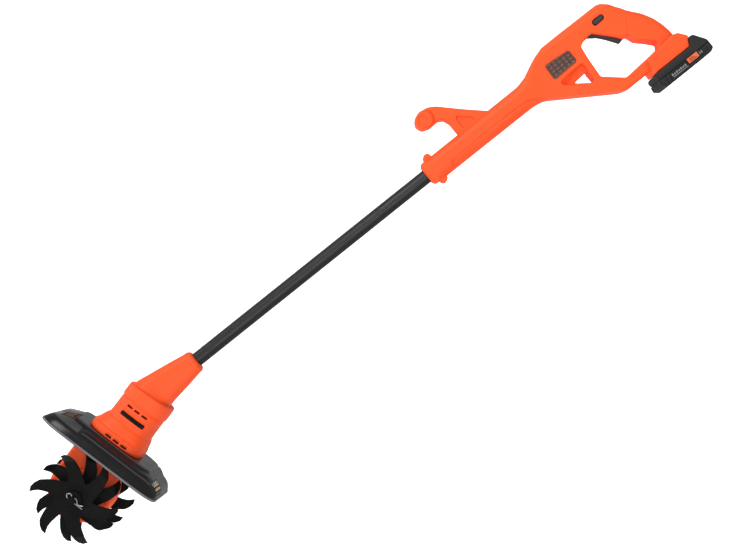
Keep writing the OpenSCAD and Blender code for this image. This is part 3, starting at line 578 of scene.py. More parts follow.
WINDOW = [(-28.2, 750.6, 2.6), (-45.6, 751.2, 2.4), (-48.6, 745.8, 2.4), (-33.6, 725.2, 2.0), (-30.2, 727.0, 1.6)]
outer = rounded(HEAD, 1.2)
d_open = rounded(D_OPEN, 1.0)
win = rounded(WINDOW, 0.6)
groove = spline([(-12.4, 498.2), (-8.6, 498.4), (-7.4, 501), (-7.0, 506), (-5.8, 540), (-5.0, 570), (-5.4, 610), (-6.6, 640), (-8.6, 652), (-12.5, 660), (-16, 665)], 0.8, False)
scoop = rounded([(-13.6, 746.0, 3), (-14.4, 752.8, 3), (-28.2, 752.4, 0), (-48.6, 745.8, 0), (-33.6, 725.2, 0), (-35.2, 722.4, 1.5), (-22.5, 707.2, 2), (-17.5, 706.8, 2), (-14.6, 711.0, 2)], 0.8)
plate_rec = rounded([(19.2, 703.0, 5), (15.0, 748.6, 4.5), (-7.6, 748.6, 4.5), (-9.4, 701.4, 5)], 0.8)
LC, LU = 22.0, 812.6
lock_rec = rounded([(17.4, 803.0, 3.6), (25.2, 802.4, 3.6), (27.6, 808, 8), (26.6, 818, 5), (22.0, 823.4, 3.6), (18.4, 821.8, 4)], 0.6)
crease = spline([(12.0, 850.0), (2.0, 851.5), (-8.0, 846.0), (-15.0, 841.0), (-23.5, 834.6)], 0.8, False)
HS = [(473.5, 21.4), (473.5, -19.4), (672, 14), (757, 30), (836, 26), (880, -62), (795, -80)]


def neck_w(P):
    return 1 - smoothstep(640, 700, P[:, 1])


def grip_w(P):
    return smoothstep(822, 850, P[:, 1]) * smoothstep(-80, -66, P[:, 0]) * smoothstep(848, 856, P[:, 1] - 0.35 * P[:, 0])


def h_hw(P):
    return 17 + 2.6 * neck_w(P)


def h_fd(P):
    return 4.6 + 9.4 * neck_w(P) + 5.4 * grip_w(P)


def h_fx(P):
    return 4.6 + 9.4 * neck_w(P) + 4.0 * grip_w(P)


def signed(P, loop):
    return np.where(inside(P, loop), -1, 1) * seg_dist(P, loop)


def handle_cut(side):
    def f(P, d):
        u, v = P[:, 1], P[:, 0]
        c = 1.3 * np.exp(-(seg_dist(P, groove, False) / 0.62) ** 2)
        line = -7.2 + 2.0 * smoothstep(500, 575, u) - 1.6 * smoothstep(610, 650, u)
        below = smoothstep(-0.2, 0.7, line - v) * smoothstep(497.8, 499.4, u) * (1 - smoothstep(644, 662, u))
        c = c + 0.9 * below
        s = signed(P, scoop)
        deep = 2.0 + 6.0 * smoothstep(0.5, 13, -v - 14 + 0.25 * (u - 712))
        c = c + deep * (1 - smoothstep(-1.8, 0.1, s))
        s = signed(P, plate_rec)
        c = c + 1.3 * (1 - smoothstep(-0.3, 0.3, s))
        # a long soft facet along the top of the head, as on a moulded body
        c = c + 0.9 * smoothstep(0, 5, v - (33.6 - 0.02 * (u - 740))) * smoothstep(690, 715, u) * (1 - smoothstep(826, 836, u))
        if side < 0:
            s = signed(P, lock_rec)
            c = c + 3.0 * (1 - smoothstep(-0.5, 0.3, s))
            c = c + 0.7 * np.exp(-(seg_dist(P, crease, False) / 0.55) ** 2)
        else:
            for u0, v0 in HS[2:]:
                rr = np.hypot(v - v0, u - u0)
                c = c + 3.2 * (1 - smoothstep(3.3, 3.75, rr))
        return c
    return f


rings = [rounded([(v + 4.6 * math.cos(t), u + 4.6 * math.sin(t), 2) for t in np.linspace(0, 2 * math.pi, 9)[:-1]], 0.7) for u, v in HS[2:]]
closed_line = lambda l: np.vstack([l, l[:1]])
for side, nm in ((-1, "left"), (1, "right")):
    dense = [groove, closed_line(scoop), closed_line(plate_rec)]
    if side < 0:
        dense += [closed_line(lock_rec), crease]
    else:
        dense += [closed_line(r) for r in rings]
    o = pillow("handle_skin_" + nm, outer, [d_open, win], side, tf, h_hw, h_fx, h_fd, [ORANGE], handle_cut(side), 2.0, dense, hole_fillet=[2.6, 1.6])
    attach(o, "tool")
    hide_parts("handle_shell_" + nm)

# the plate beside the grip: a framed pad with a field of small studs
for side, nm in ((-1, "left"), (1, "right")):
    pl = rounded([(18.6, 703.6, 4.6), (14.5, 748.0, 4.1), (-7.1, 748.0, 4.1), (-8.9, 702.0, 4.6)], 0.8)
    studs = [(-4.2 + 6.4 * i + 0.02 * (725 - (709.5 + 8.2 * j)), 709.5 + 8.2 * j) for i in range(4) for j in range(5)]

    def plate_cut(P, d):
        c = 0.45 * (1 - smoothstep(1.5, 2.1, np.abs(d - 0.0)) * 1.0) * 0 + 0.4 * smoothstep(1.7, 2.3, d)
        g = np.min([np.maximum(np.abs(P[:, 0] - a) - 1.9, np.abs(P[:, 1] - b) - 2.6) for a, b in studs], axis=0)
        return c - 0.45 * (1 - smoothstep(-0.3, 0.35, g))

    def plate_pick(C):
        g = np.min([np.maximum(np.abs(C[:, 0] - a) - 1.8, np.abs(C[:, 1] - b) - 2.5) for a, b in studs], axis=0)
        rim = seg_dist(C, pl)
        return np.where(g < 0, 1, np.where(rim < 1.7, 1, 0))

    o = pillow("plate_skin_" + nm, pl, [], side, (lambda x, v, u, sd=side: tf(x + sd * 14.6, v, u)), 2.1, 0.5, 0.5, [PLATE, PLATE_RIM], plate_cut, 0.7, face_pick=plate_pick)
    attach(o, "tool")
    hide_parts("plate_" + nm)

# foot that takes the battery
FOOT = [(-69.0, 866, 3), (-67.6, 883.5, 3), (-70.6, 892.6, 3), (-83.4, 902.4, 1.6), (-90.6, 897.2, 1.5), (-98.6, 893.2, 0.8), (-98.6, 850, 0), (-98.6, 827.0, 1.2), (-84.6, 827.4, 2.0), (-75.2, 829.5, 2.0), (-72.0, 834, 2)]
foot = rounded(FOOT, 1.0)


def foot_cut(P, d):
    return 0.7 * np.exp(-((P[:, 0] + 94.8) / 0.5) ** 2) * smoothstep(0, 3, d)


for side, nm in ((-1, "left"), (1, "right")):
    o = pillow("foot_skin_" + nm, foot, [], side, tf, 31.4, 3.0, 2.8, [ORANGE], foot_cut, 2.2)
    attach(o, "tool")

# hooked front handle
HOOK = [(8, 534.4, 0), (40.5, 534.2, 9), (51.5, 530.2, 9), (55.9, 522, 8), (55.2, 507, 9), (59.4, 494.6, 9), (70, 489.6, 9), (80, 495, 9), (84.2, 506.5, 12), (82.4, 522.8, 16), (75.0, 534.6, 30),
        (64.4, 545.1, 0), (44.4, 565.5, 0), (16.6, 595.7, 8), (8, 603, 0)]
hook = rounded(HOOK, 1.0)
web = rounded([(46.5, 546.6, 3.5), (28.9, 566.6, 5), (21.4, 571.6, 2), (21.0, 546.2, 2), (26, 544.4, 2)], 0.8)


def k_hw(P):
    near_end = 1 - smoothstep(13.2, 19, np.hypot(P[:, 0] - 69.6, P[:, 1] - 504.5))
    return 12.5 + 4.3 * near_end


def hook_cut(P, d):
    s = signed(P, web)
    c = 3.0 * (1 - smoothstep(-1.3, 0.3, s))
    r = np.hypot(P[:, 0] - 69.6, P[:, 1] - 504.5)
    return c + 1.5 * (1 - smoothstep(7.6, 8.8, r)) - 0.9 * (1 - smoothstep(5.4, 6.2, r))


hubring = spline([(69.6 + 8.2 * math.cos(t), 504.5 + 8.2 * math.sin(t)) for t in np.linspace(0, 2 * math.pi, 17)[:-1]], 0.7, True)
hubring2 = spline([(69.6 + 16 * math.cos(t), 504.5 + 16 * math.sin(t)) for t in np.linspace(-1.2, 0.9, 12)], 0.9, False)
for side, nm in ((-1, "left"), (1, "right")):
    o = pillow("hook_skin_" + nm, hook, [], side, tf, k_hw, 4.0, 3.6, [ORANGE], hook_cut, 1.6, [closed_line(web), closed_line(hubring)])
    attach(o, "tool")
    if side < 0:
        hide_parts("cross_grip", "cross_cap_left", "cross_cap_right")

# collar: end face and the two screw bosses
o = lathe("collar_skin", [(-1.2, 11.1), (0.0, 12.2), (-0.2, 14.8), (1.2, 17.0), (2.4, 17.4), (2.6, 19.0), (9, 19.75), (26, 19.6), (30, 18)], (0, 0.6, 456.5), (0, 0, 1), [ORANGE], 96, tf)
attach(o, "tool")
for v, nm in ((21.0, "front"), (-19.2, "rear")):
    o = lathe("boss_" + nm, [(-13, 0.01), (-13, 2.6), (-12.8, 3.3), (-12.9, 4.4), (-12.4, 5.6), (-11.6, 6.2), (-10.4, 6.4), (10.4, 6.4), (11.6, 6.2), (12.4, 5.6), (12.9, 4.4), (12.9, 3.4), (11, 3.3), (11, 0.01)], (0, v, 473.5), (1, 0, 0), [ORANGE], 48, tf)
    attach(o, "tool")

# trigger
TR = [(12.5, 787, 2), (18.2, 790.5, 4), (17.2, 798, 5), (8, 808.6, 10), (-6, 820.6, 10), (-17, 827.6, 4), (-24.2, 827.4, 3.4), (-26.4, 819.4, 3.2), (-20.4, 815.6, 5), (-8.0, 807.0, 30), (3.6, 797.5, 20), (8.6, 790.0, 5)]
tr = rounded(TR, 0.8)
for side, nm in ((-1, "left"), (1, "right")):
    o = pillow("trigger_skin_" + nm, tr, [], side, tf, 5.35, 2.6, 2.4, [TRIG], None, 1.2, gap=0.02)
    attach(o, "trigger")
    if side < 0:
        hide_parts("trigger")

# ---------------------------------------------------------------- battery pack
PU = -10.0
COVER = [(-99.1, 842 + PU, 0), (-99.1, 902.2 + PU, 1), (-90.2, 907.8 + PU, 2), (-85.9, 911.8 + PU, 1.8), (-87.2, 917.4 + PU, 2), (-105.8, 929.8 + PU, 3), (-110.9, 930.2 + PU, 0), (-110.9, 850 + PU, 0), (-110.9, 834.6 + PU, 0), (-105.0, 833.6 + PU, 1), (-101.2, 834.6 + PU, 1.2), (-99.2, 838.0 + PU, 1)]
cover = rounded(COVER, 1.0)
TUB = [(-110.6, 832.4 + PU, 0), (-110.6, 930.2 + PU, 0), (-121.6, 930.4 + PU, 4), (-125.3, 923.6 + PU, 4), (-125.3, 839.0 + PU, 3), (-119.0, 831.4 + PU, 2.4)]
tub = rounded(TUB, 1.0)


def cover_cut(P, d):
    c = 0.0
    for k in range(5):
        c = c + 0.55 * np.exp(-((P[:, 1] + 0.66 * P[:, 0] - (842.0 + 2.6 * k + PU)) / 0.55) ** 2) * smoothstep(911, 914, P[:, 1] - PU) * 0.0
    c = c + 0.8 * smoothstep(-0.4, 0.4, 901.5 + PU - P[:, 1]) * (1 - smoothstep(-0.4, 0.4, 824 + PU - P[:, 1])) * (1 - smoothstep(-107.6, -106.8, P[:, 0]))
    return c


def tub_cut(P, d):
    c = 0.0
    for u in (843 + PU, 921 + PU):
        c = c + 0.8 * np.exp(-((P[:, 1] - u) / 0.6) ** 2) * (P[:, 0] < -111.6)
    s = np.maximum(np.abs(P[:, 0] + 117.4) - 5.4, np.abs(P[:, 1] - 882 - PU) - 34)
    c = c + 0.7 * (1 - smoothstep(-0.3, 0.3, s))
    return c


for side, nm in ((-1, "left"), (1, "right")):
    o = pillow("pack_cover_skin_" + nm, cover, [], side, tf, 35.8, 2.4, 2.2, [PACK_TOP], cover_cut, 2.0, gap=0.0)
    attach(o, "pack")
    p = pillow("pack_tub_skin_" + nm, tub, [], side, tf, 35.9, 3.4, 3.0, [PACK], tub_cut, 1.6, gap=0.0)
    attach(p, "pack")
    if side < 0:
        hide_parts("pack_cover")
        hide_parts("pack_tub", "pack_cells")
# side label: a dark strip, an orange field and plain bars
for side, nm in ((-1, "left"), (1, "right")):
    xs = 35.25
    z0 = (lambda x, v, u, sd=side: tf(sd * x, v, u))
    items = [(-121.8, -112.6, 849.5, 914.5, DEEP, 0.0), (-119.0, -110.9, 885.0, 904.4, PATCH, 0.22)]
    for j in range(7):
        items.append((-118.4, -114.6 - 0.8 * (j % 2), 852.5 + 4.1 * j, 855.2 + 4.1 * j, BAR, 0.16))
    items.append((-120.8, -119.7, 852.5, 881.5, BAR, 0.16))
    for j in range(3):
        items.append((-117.6 + 2.0 * j, -116.8 + 2.0 * j, 888.0, 901.0 - 2.5 * j, DEEP, 0.34))
    for j in range(2):
        items.append((-118.0, -113.8, 907.0 + 3.4 * j, 908.8 + 3.4 * j, BAR, 0.16))
    for q, (v0, v1, u0, u1, mat, lift) in enumerate(items):
        o = block("pack_mark_%s_%d" % (nm, q), side * (xs - 0.6), side * (xs + lift), v0, v1, u0 + PU, u1 + PU, [mat], tf, 0.5 if mat is not DEEP or q == 0 else 0.2, 3)
        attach(o, "pack")
        if side < 0 and q == 0:
            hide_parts("pack_label")

# ---------------------------------------------------------------- motor head skin: a loft of rounded rings
def loft(name, rings, mats, nth=160):
    """rings: (centre w, centre z, tilt, half w, half x, exponent)."""
    th = np.arange(nth * 4) / (nth * 4) * 2 * math.pi
    vs = []
    for w, z, tilt, a, b, n in rings:
        c, s = np.cos(th), np.sin(th)
        pw = a * np.sign(c) * np.abs(c) ** (2 / n)
        px = b * np.sign(s) * np.abs(s) ** (2 / n)
        px2, pw2 = np.append(px, px[0]), np.append(pw, pw[0])
        L = np.concatenate([[0], np.cumsum(np.hypot(np.diff(px2), np.diff(pw2)))])
        t = np.linspace(0, L[-1], nth + 1)[:-1]
        px, pw = np.interp(t, L, px2), np.interp(t, L, pw2)
        seam = (np.arange(nth) == 0) | (np.arange(nth) == nth // 2)
        k = np.where(seam, 1 - 0.7 / max(a, 1), 1.0)
        vs.append(np.column_stack([px * k, w + pw * k * math.cos(tilt), z + pw * k * math.sin(tilt)]))
    V = np.vstack(vs)
    F = []
    for i in range(len(rings) - 1):
        for j in range(nth):
            k = (j + 1) % nth
            F.append((i * nth + j, (i + 1) * nth + j, (i + 1) * nth + k, i * nth + k))
    F.append(tuple(range(nth)))
    F.append(tuple(range((len(rings) - 1) * nth, len(rings) * nth))[::-1])
    return make_mesh(name, wf(V[:, 0], V[:, 1], V[:, 2]), F, None, mats)


def tube_ring(u, r, n=2.0, q=0.0):
    return (-u * SA, u * CA, LEAN, r, r - q, n)


R = [tube_ring(0.6, 11.3), tube_ring(0.6, 14.6, 2.4), tube_ring(0.3, 15.4, 2.5), tube_ring(-3.2, 18.0, 2.7), tube_ring(-3.8, 18.2, 2.7), tube_ring(-4.4, 18.3, 2.7), tube_ring(-9.5, 18.6, 3.4), tube_ring(-20, 20.3, 3.8), tube_ring(-32, 22.2, 4.2), tube_ring(-45, 24.2, 4.4), tube_ring(-58, 26.2, 4.4), tube_ring(-70, 28.0, 4.2)]
R += [(20.3, -79.6, LEAN * 0.5, 31.2, 30.6, 3.6), (20.5, -81.6, 0.0, 33.0, 32.4, 2.8), (20.6, -82.4, -0.03, 34.4, 34.0, 2.7), (20.6, -83.0, -0.05, 37.6, 37.2, 2.6), (20.6, -83.6, -0.05, 38.4, 38.0, 2.6), (20.6, -84.8, -0.05, 38.9, 38.6, 2.6), (20.5, -88.5, -0.04, 39.1, 38.9, 2.6),
      (20.5, -97, -0.01, 39.1, 38.9, 2.6), (20.5, -103.4, 0, 39.1, 38.9, 2.6), (20.5, -104.2, 0, 38.9, 38.7, 2.6), (20.5, -104.6, 0, 38.4, 38.2, 2.6), (20.5, -104.9, 0, 37.3, 37.0, 2.6), (20.5, -105.4, 0, 37.0, 36.7, 2.6), (20.5, -107.4, 0, 37.0, 36.7, 2.6), (20.5, -107.9, 0, 37.6, 37.3, 2.6), (20.5, -108.4, 0, 37.7, 37.4, 2.6), (20.5, -118, 0, 37.7, 37.4, 2.6), (20.5, -132, 0, 37.8, 37.5, 2.7),
      (20.5, -139.8, 0, 38.0, 37.7, 2.8), (20.5, -140.4, 0, 38.1, 37.9, 2.8), (20.7, -141.2, 0, 39.3, 39.2, 2.8), (20.8, -142.0, 0, 40.0, 39.8, 2.8), (21.4, -147.6, 0, 42.2, 41.8, 2.9), (22, -152.6, 0, 43.8, 43.2, 3.0), (22.2, -156.4, 0, 44.6, 44.0, 3.1), (22.4, -157.4, 0, 44.9, 44.4, 3.1), (22.9, -158.2, 0, 46.2, 46.0, 3.2), (23.2, -159.2, 0, 46.8, 46.8, 3.2), (23.4, -168.8, 0, 47.0, 47.0, 3.3), (23.4, -170.4, 0, 46.6, 46.6, 3.3)]
head = loft("motor_skin", R, [ORANGE, DEEP])
cut = []
for s in (-1, 1):
    for i in range(3):
        w = 34.4 - i * 13.6
        cut.append(block("c", s * 30, s * 46, w - 5, w + 5, -114.6, -112.0, [DEEP], wf, 1.1))
        w = 33 - i * 14.2
        cut.append(block("c", s * 41, s * 52, w - 5.4, w + 5.4, -167.9, -165.1, [DEEP], wf, 1.1))
    cut.append(block("c", s * 33, s * 46, 19.7 - 21.4, 19.7 + 21.4, -130.4, -123.6, [DEEP], wf, 1.6))
bpy.context.view_layer.update()
boolean_cut(head, cut)
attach(head, "tool")
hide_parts("motor_shell_left", "motor_shell_right")

# ---------------------------------------------------------------- gear case
CASE = [(58, -174), (66, -176), (69, -196), (69.3, -230), (69.2, -262), (67.2, -276), (64.5, -288), (57, -295), (46, -301), (33, -307.5), (19, -311.6), (5, -308.5), (-8, -301.5), (-20, -293.5), (-27.5, -281), (-29.5, -264), (-30, -250), (-26.6, -236), (-20, -223), (-14, -213), (-12.4, -196), (-12, -178), (-8, -174), (20, -174)]
case = spline(CASE, 1.4, True, 1.5)


def case_cut(P, d):
    rr = np.hypot(P[:, 0] - 15.5, P[:, 1] + 266)
    c = 1.2 * np.exp(-((rr - 38) / 1.0) ** 2)
    for k in range(8):
        a = math.radians(22.5 + 45 * k)
        t = (P[:, 0] - 15.5) * math.cos(a) + (P[:, 1] + 266) * math.sin(a)
        n = -(P[:, 0] - 15.5) * math.sin(a) + (P[:, 1] + 266) * math.cos(a)
        c = c - 1.2 * np.exp(-(n / 1.3) ** 2) * smoothstep(19, 21, t) * (1 - smoothstep(34, 37, t))
    return c


for side, nm in ((-1, "left"), (1, "right")):
    o = pillow("gear_case_skin_" + nm, case, [], side, wf, 24, 5.0, 5.0, [ORANGE], case_cut, 2.0)
    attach(o, "tool")
    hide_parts("gear_case_" + nm)
for s in (-1, 1):
    o = lathe("axle_boss_%s" % ("left" if s < 0 else "right"), [(s * 22, 19), (s * 24.6, 18.4), (s * 25.4, 16.8), (s * 27.2, 16.4), (s * 28, 15.6), (s * 28, 9.9)], (0, 14, -267), (1, 0, 0), [ORANGE], 64, wf)
    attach(o, "tool")

# ---------------------------------------------------------------- guard: a flat deck, a hollow flank and a lip
NPHI = 280
GX, GF, GB, GN = 82.0, 127.0, -83.0, 2.5


def plan_outline():
    x_r, y_f, y_b = 28.0, 52.0, 44.0
    out = []
    for t in np.arange(1440) / 1440 * 2 * math.pi:
        dx, dy = math.cos(t), math.sin(t)
        lo_s, hi_s = 0.0, 250.0
        for _ in range(36):
            m = (lo_s + hi_s) / 2
            x, y = dx * m, 22 + dy * m
            sx = max(0, (abs(x) - (GX - x_r)) / x_r)
            sy = max(0, (y - (GF - y_f)) / y_f, ((GB + y_b) - y) / y_b)
            if (sx**GN + sy**GN) < 1:
                lo_s = m
            else:
                hi_s = m
        out.append((dx * lo_s, 22 + dy * lo_s))
    out = np.array(out)
    o2 = np.vstack([out, out[:1]])
    L = np.concatenate([[0], np.cumsum(np.linalg.norm(np.diff(o2, axis=0), axis=1))])
    tt = np.linspace(0, L[-1], NPHI + 1)[:-1]
    return out, np.stack([np.interp(tt, L, o2[:, 0]), np.interp(tt, L, o2[:, 1])], 1)


FINE, PLAN = plan_outline()
FINE_T = np.arctan2(FINE[:, 1] - 22, FINE[:, 0]) % (2 * math.pi)
FINE_R = np.hypot(FINE[:, 0], FINE[:, 1] - 22)
_o = np.argsort(FINE_T)
FINE_T, FINE_R = FINE_T[_o], FINE_R[_o]
PROF_S = [0, 0.60, 0.645, 0.66, 0.672, 0.70, 0.74, 0.78, 0.82, 0.855, 0.88, 0.90, 0.92, 0.945, 0.965, 0.98, 0.99, 1.0]
PROF_Z = [-170.6, -170.6, -170.8, -171.2, -172.4, -175.2, -178.3, -180.6, -182.2, -183.2, -183.8, -184.6, -185.9, -188.4, -191.2, -193.8, -195.9, -197.6]


def gauge(x, y):
    t = np.arctan2(y - 22, x) % (2 * math.pi)
    r = np.interp(t, FINE_T, FINE_R, period=2 * math.pi)
    return np.hypot(x, y - 22) / r


def guard_z(x, y, s=None):
    s = gauge(x, y) if s is None else s
    z = np.interp(s, PROF_S, PROF_Z)
    flank = smoothstep(0.5, 0.8, np.abs(x) / GX)
    arch = smoothstep(76, 58, y) * smoothstep(-62, -48, y) if False else (1 - smoothstep(56, 74, y)) * smoothstep(-64, -50, y)
    z = z + 4.6 * flank * arch * np.exp(-((s - 0.80) / 0.075) ** 2)
    rear = 1 - smoothstep(-62, -40, y)
    z = z + 3.2 * rear * np.exp(-((s - 0.76) / 0.07) ** 2)
    nose = smoothstep(78, 96, y)
    z = z + 2.4 * nose * np.exp(-((s - 0.78) / 0.08) ** 2)
    return np.minimum(z, -170.6)


def guard_piece():
    S = [0.0, 0.2, 0.4, 0.55, 0.62, 0.645, 0.655, 0.662, 0.67, 0.68, 0.70, 0.72, 0.74, 0.76, 0.78, 0.80, 0.82, 0.84, 0.86, 0.88, 0.895, 0.91, 0.925, 0.94, 0.955, 0.968, 0.98, 0.99, 1.0]
    out = PLAN
    n = NPHI
    c0 = np.array([0.0, 22.0])
    rows = []
    for s in S:
        p = c0 + (out - c0) * s
        rows.append(np.column_stack([p, guard_z(p[:, 0], p[:, 1], np.full(n, s))]))
    nrm = out - c0
    nrm /= np.linalg.norm(nrm, axis=1)[:, None]
    rows.append(np.column_stack([out + nrm * 0.9, np.full(n, -197.9)]))
    rows.append(np.column_stack([out + nrm * 1.3, np.full(n, -198.7)]))
    rows.append(np.column_stack([out + nrm * 1.2, np.full(n, -200.6)]))
    rows.append(np.column_stack([out + nrm * 0.5, np.full(n, -201.2)]))
    rows.append(np.column_stack([out - nrm * 1.2, np.full(n, -201.0)]))
    for s in S[::-1][1:-1]:
        p = c0 + (out - c0) * s * 0.972
        z = guard_z(c0[0] + (out[:, 0] - c0[0]) * s, c0[1] + (out[:, 1] - c0[1]) * s, np.full(n, s)) - 3.0
        rows.append(np.column_stack([p, np.maximum(z, -200.6)]))
    V = np.vstack(rows)
    F, M = [], []
    for i in range(len(rows) - 1):
        for j in range(n):
            k = (j + 1) % n
            if i == 0:
                F.append((j, n + j, n + k))
            else:
                F.append((i * n + j, (i + 1) * n + j, (i + 1) * n + k, i * n + k))
            xm, ym = V[i * n + j, 0], V[i * n + j, 1]
            # the lip rows take the light grey lip material: a painted highlight along the guard's lower edge
            if len(S) - 1 <= i < len(S) + 2:
                M.append(1)
            # the deck-edge rows and one flank strip take the lighter grey: painted highlight lines
            elif 6 <= i < 8 or (i == 18 and abs(xm) > 40 and -60 < ym < 66):
                M.append(2)
            # the nose flank faces take the glossier material, whose lighter base colour paints part of the nose
            # highlight
            elif 11 <= i < 21 and ym > 70 and abs(xm) > 22:
                M.append(3)
            else:
                M.append(0)
    F.append(tuple(range((len(rows) - 1) * n, len(rows) * n))[::-1])
    M.append(0)
    return make_mesh("guard_skin", wf(V[:, 0], V[:, 1], V[:, 2]), F, None, [GUARD, LIP_HIGHLIGHT, EDGE_HIGHLIGHT, NOSE_HIGHLIGHT], True, M)


g = guard_piece()
bpy.context.view_layer.update()
import bmesh
bm = bmesh.new()
bm.from_mesh(g.data)
bmesh.ops.remove_doubles(bm, verts=bm.verts, dist=1e-6)
bmesh.ops.recalc_face_normals(bm, faces=bm.faces)
bm.to_mesh(g.data)
bm.free()
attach(g, "tool")
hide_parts("guard")


def draped(name, x0, x1, y0, y1, mats, pick, lift=0.35, nx=36, ny=24):
    """A thin plate laid on the guard."""
    xs, ys = np.linspace(x0, x1, nx), np.linspace(y0, y1, ny)
    X, Y = np.meshgrid(xs, ys, indexing="ij")
    Z = guard_z(X.ravel(), Y.ravel()).reshape(X.shape)
    top = np.column_stack([X.ravel(), Y.ravel(), Z.ravel() + lift])
    low = np.column_stack([X.ravel(), Y.ravel(), Z.ravel() - 0.6])
    V = np.vstack([top, low])
    N = nx * ny
    F, M = [], []
    for i in range(nx - 1):
        for j in range(ny - 1):
            a, b, c, d = i * ny + j, (i + 1) * ny + j, (i + 1) * ny + j + 1, i * ny + j + 1
            F += [(a, b, c, d), (N + d, N + c, N + b, N + a)]
            M += [pick((xs[i] + xs[i + 1]) / 2, (ys[j] + ys[j + 1]) / 2), 0]
    for i in range(nx - 1):
        for a, b in (((i + 1) * ny, i * ny), (i * ny + ny - 1, (i + 1) * ny + ny - 1)):
            F.append((a, b, N + b, N + a))
            M.append(0)
    for j in range(ny - 1):
        for a, b in ((j, j + 1), ((nx - 1) * ny + j + 1, (nx - 1) * ny + j)):
            F.append((a, b, N + b, N + a))
            M.append(0)
    return make_mesh(name, wf(V[:, 0], V[:, 1], V[:, 2]), F, None, mats, False, M)


def pick_front(x, y):
    e = min(x + 54, -12 - x, y - 87, 109 - y)
    if e < 1.2:
        return 0
    if e < 2.2:
        return 1
    return 1 if (int((x + 60) / 4.6) % 2 == 0 and 91.5 < y < 104.5) else 0


def pick_rear(x, y):
    e = min(x + 60, -18 - x, (y + 80.4) * 1.4, (-62.5 - y) * 1.4)
    if e < 2.0:
        return 0
    i, j = int((x + 60) / 4.4), int((y + 81) / 2.6)
    if y > -68.5:
        return 2 if i % 3 != 1 else 0
    return (1 if (i + j) % 2 == 0 else 2) if j % 2 == 0 else 0


o = draped("guard_mark_front", -54, -12, 87, 109, [DEEP, BRICK], pick_front)
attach(o, "tool")
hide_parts("guard_plate_front")
o = draped("guard_mark_rear", -60, -18, -80.4, -62.5, [DEEP, AMBER, STICKER], pick_rear, 0.35, 40, 30)
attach(o, "tool")
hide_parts("guard_plate_rear")

# ---------------------------------------------------------------- spring clips through the shaft ends
def wire(name, pts, r, mats, seg=12, to3=wf):
    P = np.asarray(pts, float)
    P = np.concatenate([spline_line(P)])
    T = np.gradient(P, axis=0)
    T /= np.linalg.norm(T, axis=1)[:, None]
    nref = np.array([1.0, 0, 0])
    A = np.cross(T, nref)
    A /= np.linalg.norm(A, axis=1)[:, None]
    B = np.cross(T, A)
    th = np.arange(seg) / seg * 2 * math.pi
    V = (P[:, None] + r * (np.cos(th)[None, :, None] * A[:, None] + np.sin(th)[None, :, None] * B[:, None])).reshape(-1, 3)
    F = []
    for i in range(len(P) - 1):
        for j in range(seg):
            k = (j + 1) % seg
            F.append((i * seg + j, i * seg + k, (i + 1) * seg + k, (i + 1) * seg + j))
    F.append(tuple(range(seg))[::-1])
    F.append(tuple(range((len(P) - 1) * seg, len(P) * seg)))
    return make_mesh(name, to3(V[:, 0], V[:, 1], V[:, 2]), F, None, mats)


def spline_line(P, k=8):
    out = []
    n = len(P)
    for i in range(n - 1):
        p0, p1, p2, p3 = P[max(i - 1, 0)], P[i], P[i + 1], P[min(i + 2, n - 1)]
        t = (np.arange(k) / k)[:, None]
        out.append(0.5 * (2 * p1 + (p2 - p0) * t + (2 * p0 - 5 * p1 + 4 * p2 - p3) * t**2 + (3 * p1 - p0 - 3 * p2 + p3) * t**3))
    out.append(P[-1:])
    return np.vstack(out)


for s, nm in ((-1, "left"), (1, "right")):
    path = [(-21, 0), (-12, 0), (0, 0), (8, 0), (12.5, 0.4), (16, 2.4), (17, 5.6), (15, 8.6), (11.4, 9.4), (8.2, 7.4), (6.4, 5.6), (4.8, 6.6), (2, 8.2), (-2, 8.2), (-5, 6.4), (-7.6, 3.4), (-11, 2.2), (-15, 3.4), (-19, 5.6)]
    pts = [(s * 86.0 + s * 2.0 * (i > 9), 11 + 0.82 * w, -268 + 0.82 * z) for i, (w, z) in enumerate(path)]
    o = wire("clip_%s" % nm, pts, 0.85, [ZINC])
    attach(o, "tines")
    if s < 0:
        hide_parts("hitch_pins")

# ---------------------------------------------------------------- stage
def plane(name, c, e1, e2, mat):
    c, e1, e2 = (np.asarray(q, float) for q in (c, e1, e2))
    o = make_mesh(name, [c - e1 - e2, c + e1 - e2, c + e1 + e2, c - e1 + e2], [(0, 1, 2, 3)], None, [mat], False)
    return o


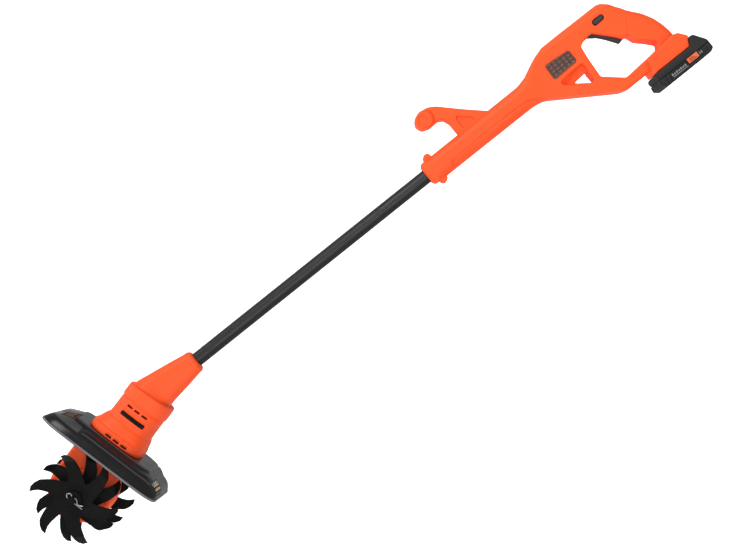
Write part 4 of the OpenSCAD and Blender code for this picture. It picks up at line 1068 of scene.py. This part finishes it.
WHITE = bpy.data.materials.new("studio_white")
WHITE.use_nodes = True
b = WHITE.node_tree.nodes["Principled BSDF"]
b.inputs["Base Color"].default_value = (0.9, 0.9, 0.9, 1)
b.inputs["Roughness"].default_value = 0.95
b.inputs["Specular IOR Level"].default_value = 0.0
b.inputs["Emission Color"].default_value = (1, 1, 1, 1)
b.inputs["Emission Strength"].default_value = 0.74
sweep = [(-6.0, -1.24), (2.6, -1.24)] + [(2.6 + 1.6 * math.sin(math.radians(t)), -1.24 + 1.6 * (1 - math.cos(math.radians(t)))) for t in range(6, 91, 6)] + [(4.2, 6.5)]
V = [(x, y, z) for x, z in sweep for y in (-9, 9)]
o = make_mesh("floor_sweep", V, [(2 * i, 2 * i + 2, 2 * i + 3, 2 * i + 1) for i in range(len(sweep) - 1)], None, [WHITE])
o.visible_glossy = False

world = bpy.data.worlds.new("studio")
bpy.context.scene.world = world
world.use_nodes = True
world.node_tree.nodes["Background"].inputs["Color"].default_value = (1, 1, 1, 1)
world.node_tree.nodes["Background"].inputs["Strength"].default_value = 0.32


def area(name, loc, target, size, power, size_y=None, colour=(1, 1, 1)):
    l = bpy.data.lights.new(name, "AREA")
    l.energy = power
    l.color = colour
    l.shape = "RECTANGLE"
    l.size = size
    l.size_y = size_y or size
    o = bpy.data.objects.new(name, l)
    o.location = loc
    d = Vector(target) - Vector(loc)
    o.rotation_euler = d.to_track_quat("-Z", "Y").to_euler()
    bpy.context.scene.collection.objects.link(o)
    return o


CAM = Vector((-2.08371, 0.03422, -0.62328))
RIGHT = Vector((0.003213, -0.79947, 0.600697))
UP = Vector((-0.040548, 0.600102, 0.798895))
BACK = Vector((-0.999172, -0.026925, -0.030489))
MID = Vector((0, 0.1, -0.55))
area("key", MID + UP * 3.4 + BACK * 2.6 - RIGHT * 0.8, MID, 2.6, 96)
area("fill", MID + BACK * 4.2 + RIGHT * 0.6 - UP * 0.6, MID, 2.6, 52)
area("rim", MID - RIGHT * 3.0 + UP * 1.2 + BACK * 0.4, MID, 1.4, 22)

cam_data = bpy.data.cameras.new("cam")
cam_data.lens = 64.662
cam_data.sensor_width = 36
cam_data.clip_start = 0.05
cam_data.clip_end = 60
cam = bpy.data.objects.new("cam", cam_data)
bpy.context.scene.collection.objects.link(cam)
m = Matrix((RIGHT, UP, BACK)).transposed().to_4x4()
m.translation = CAM
cam.matrix_world = m
bpy.context.scene.camera = cam
vs = bpy.context.scene.view_settings
vs.view_transform = "Standard"
vs.look = "None"
vs.exposure = 0.0
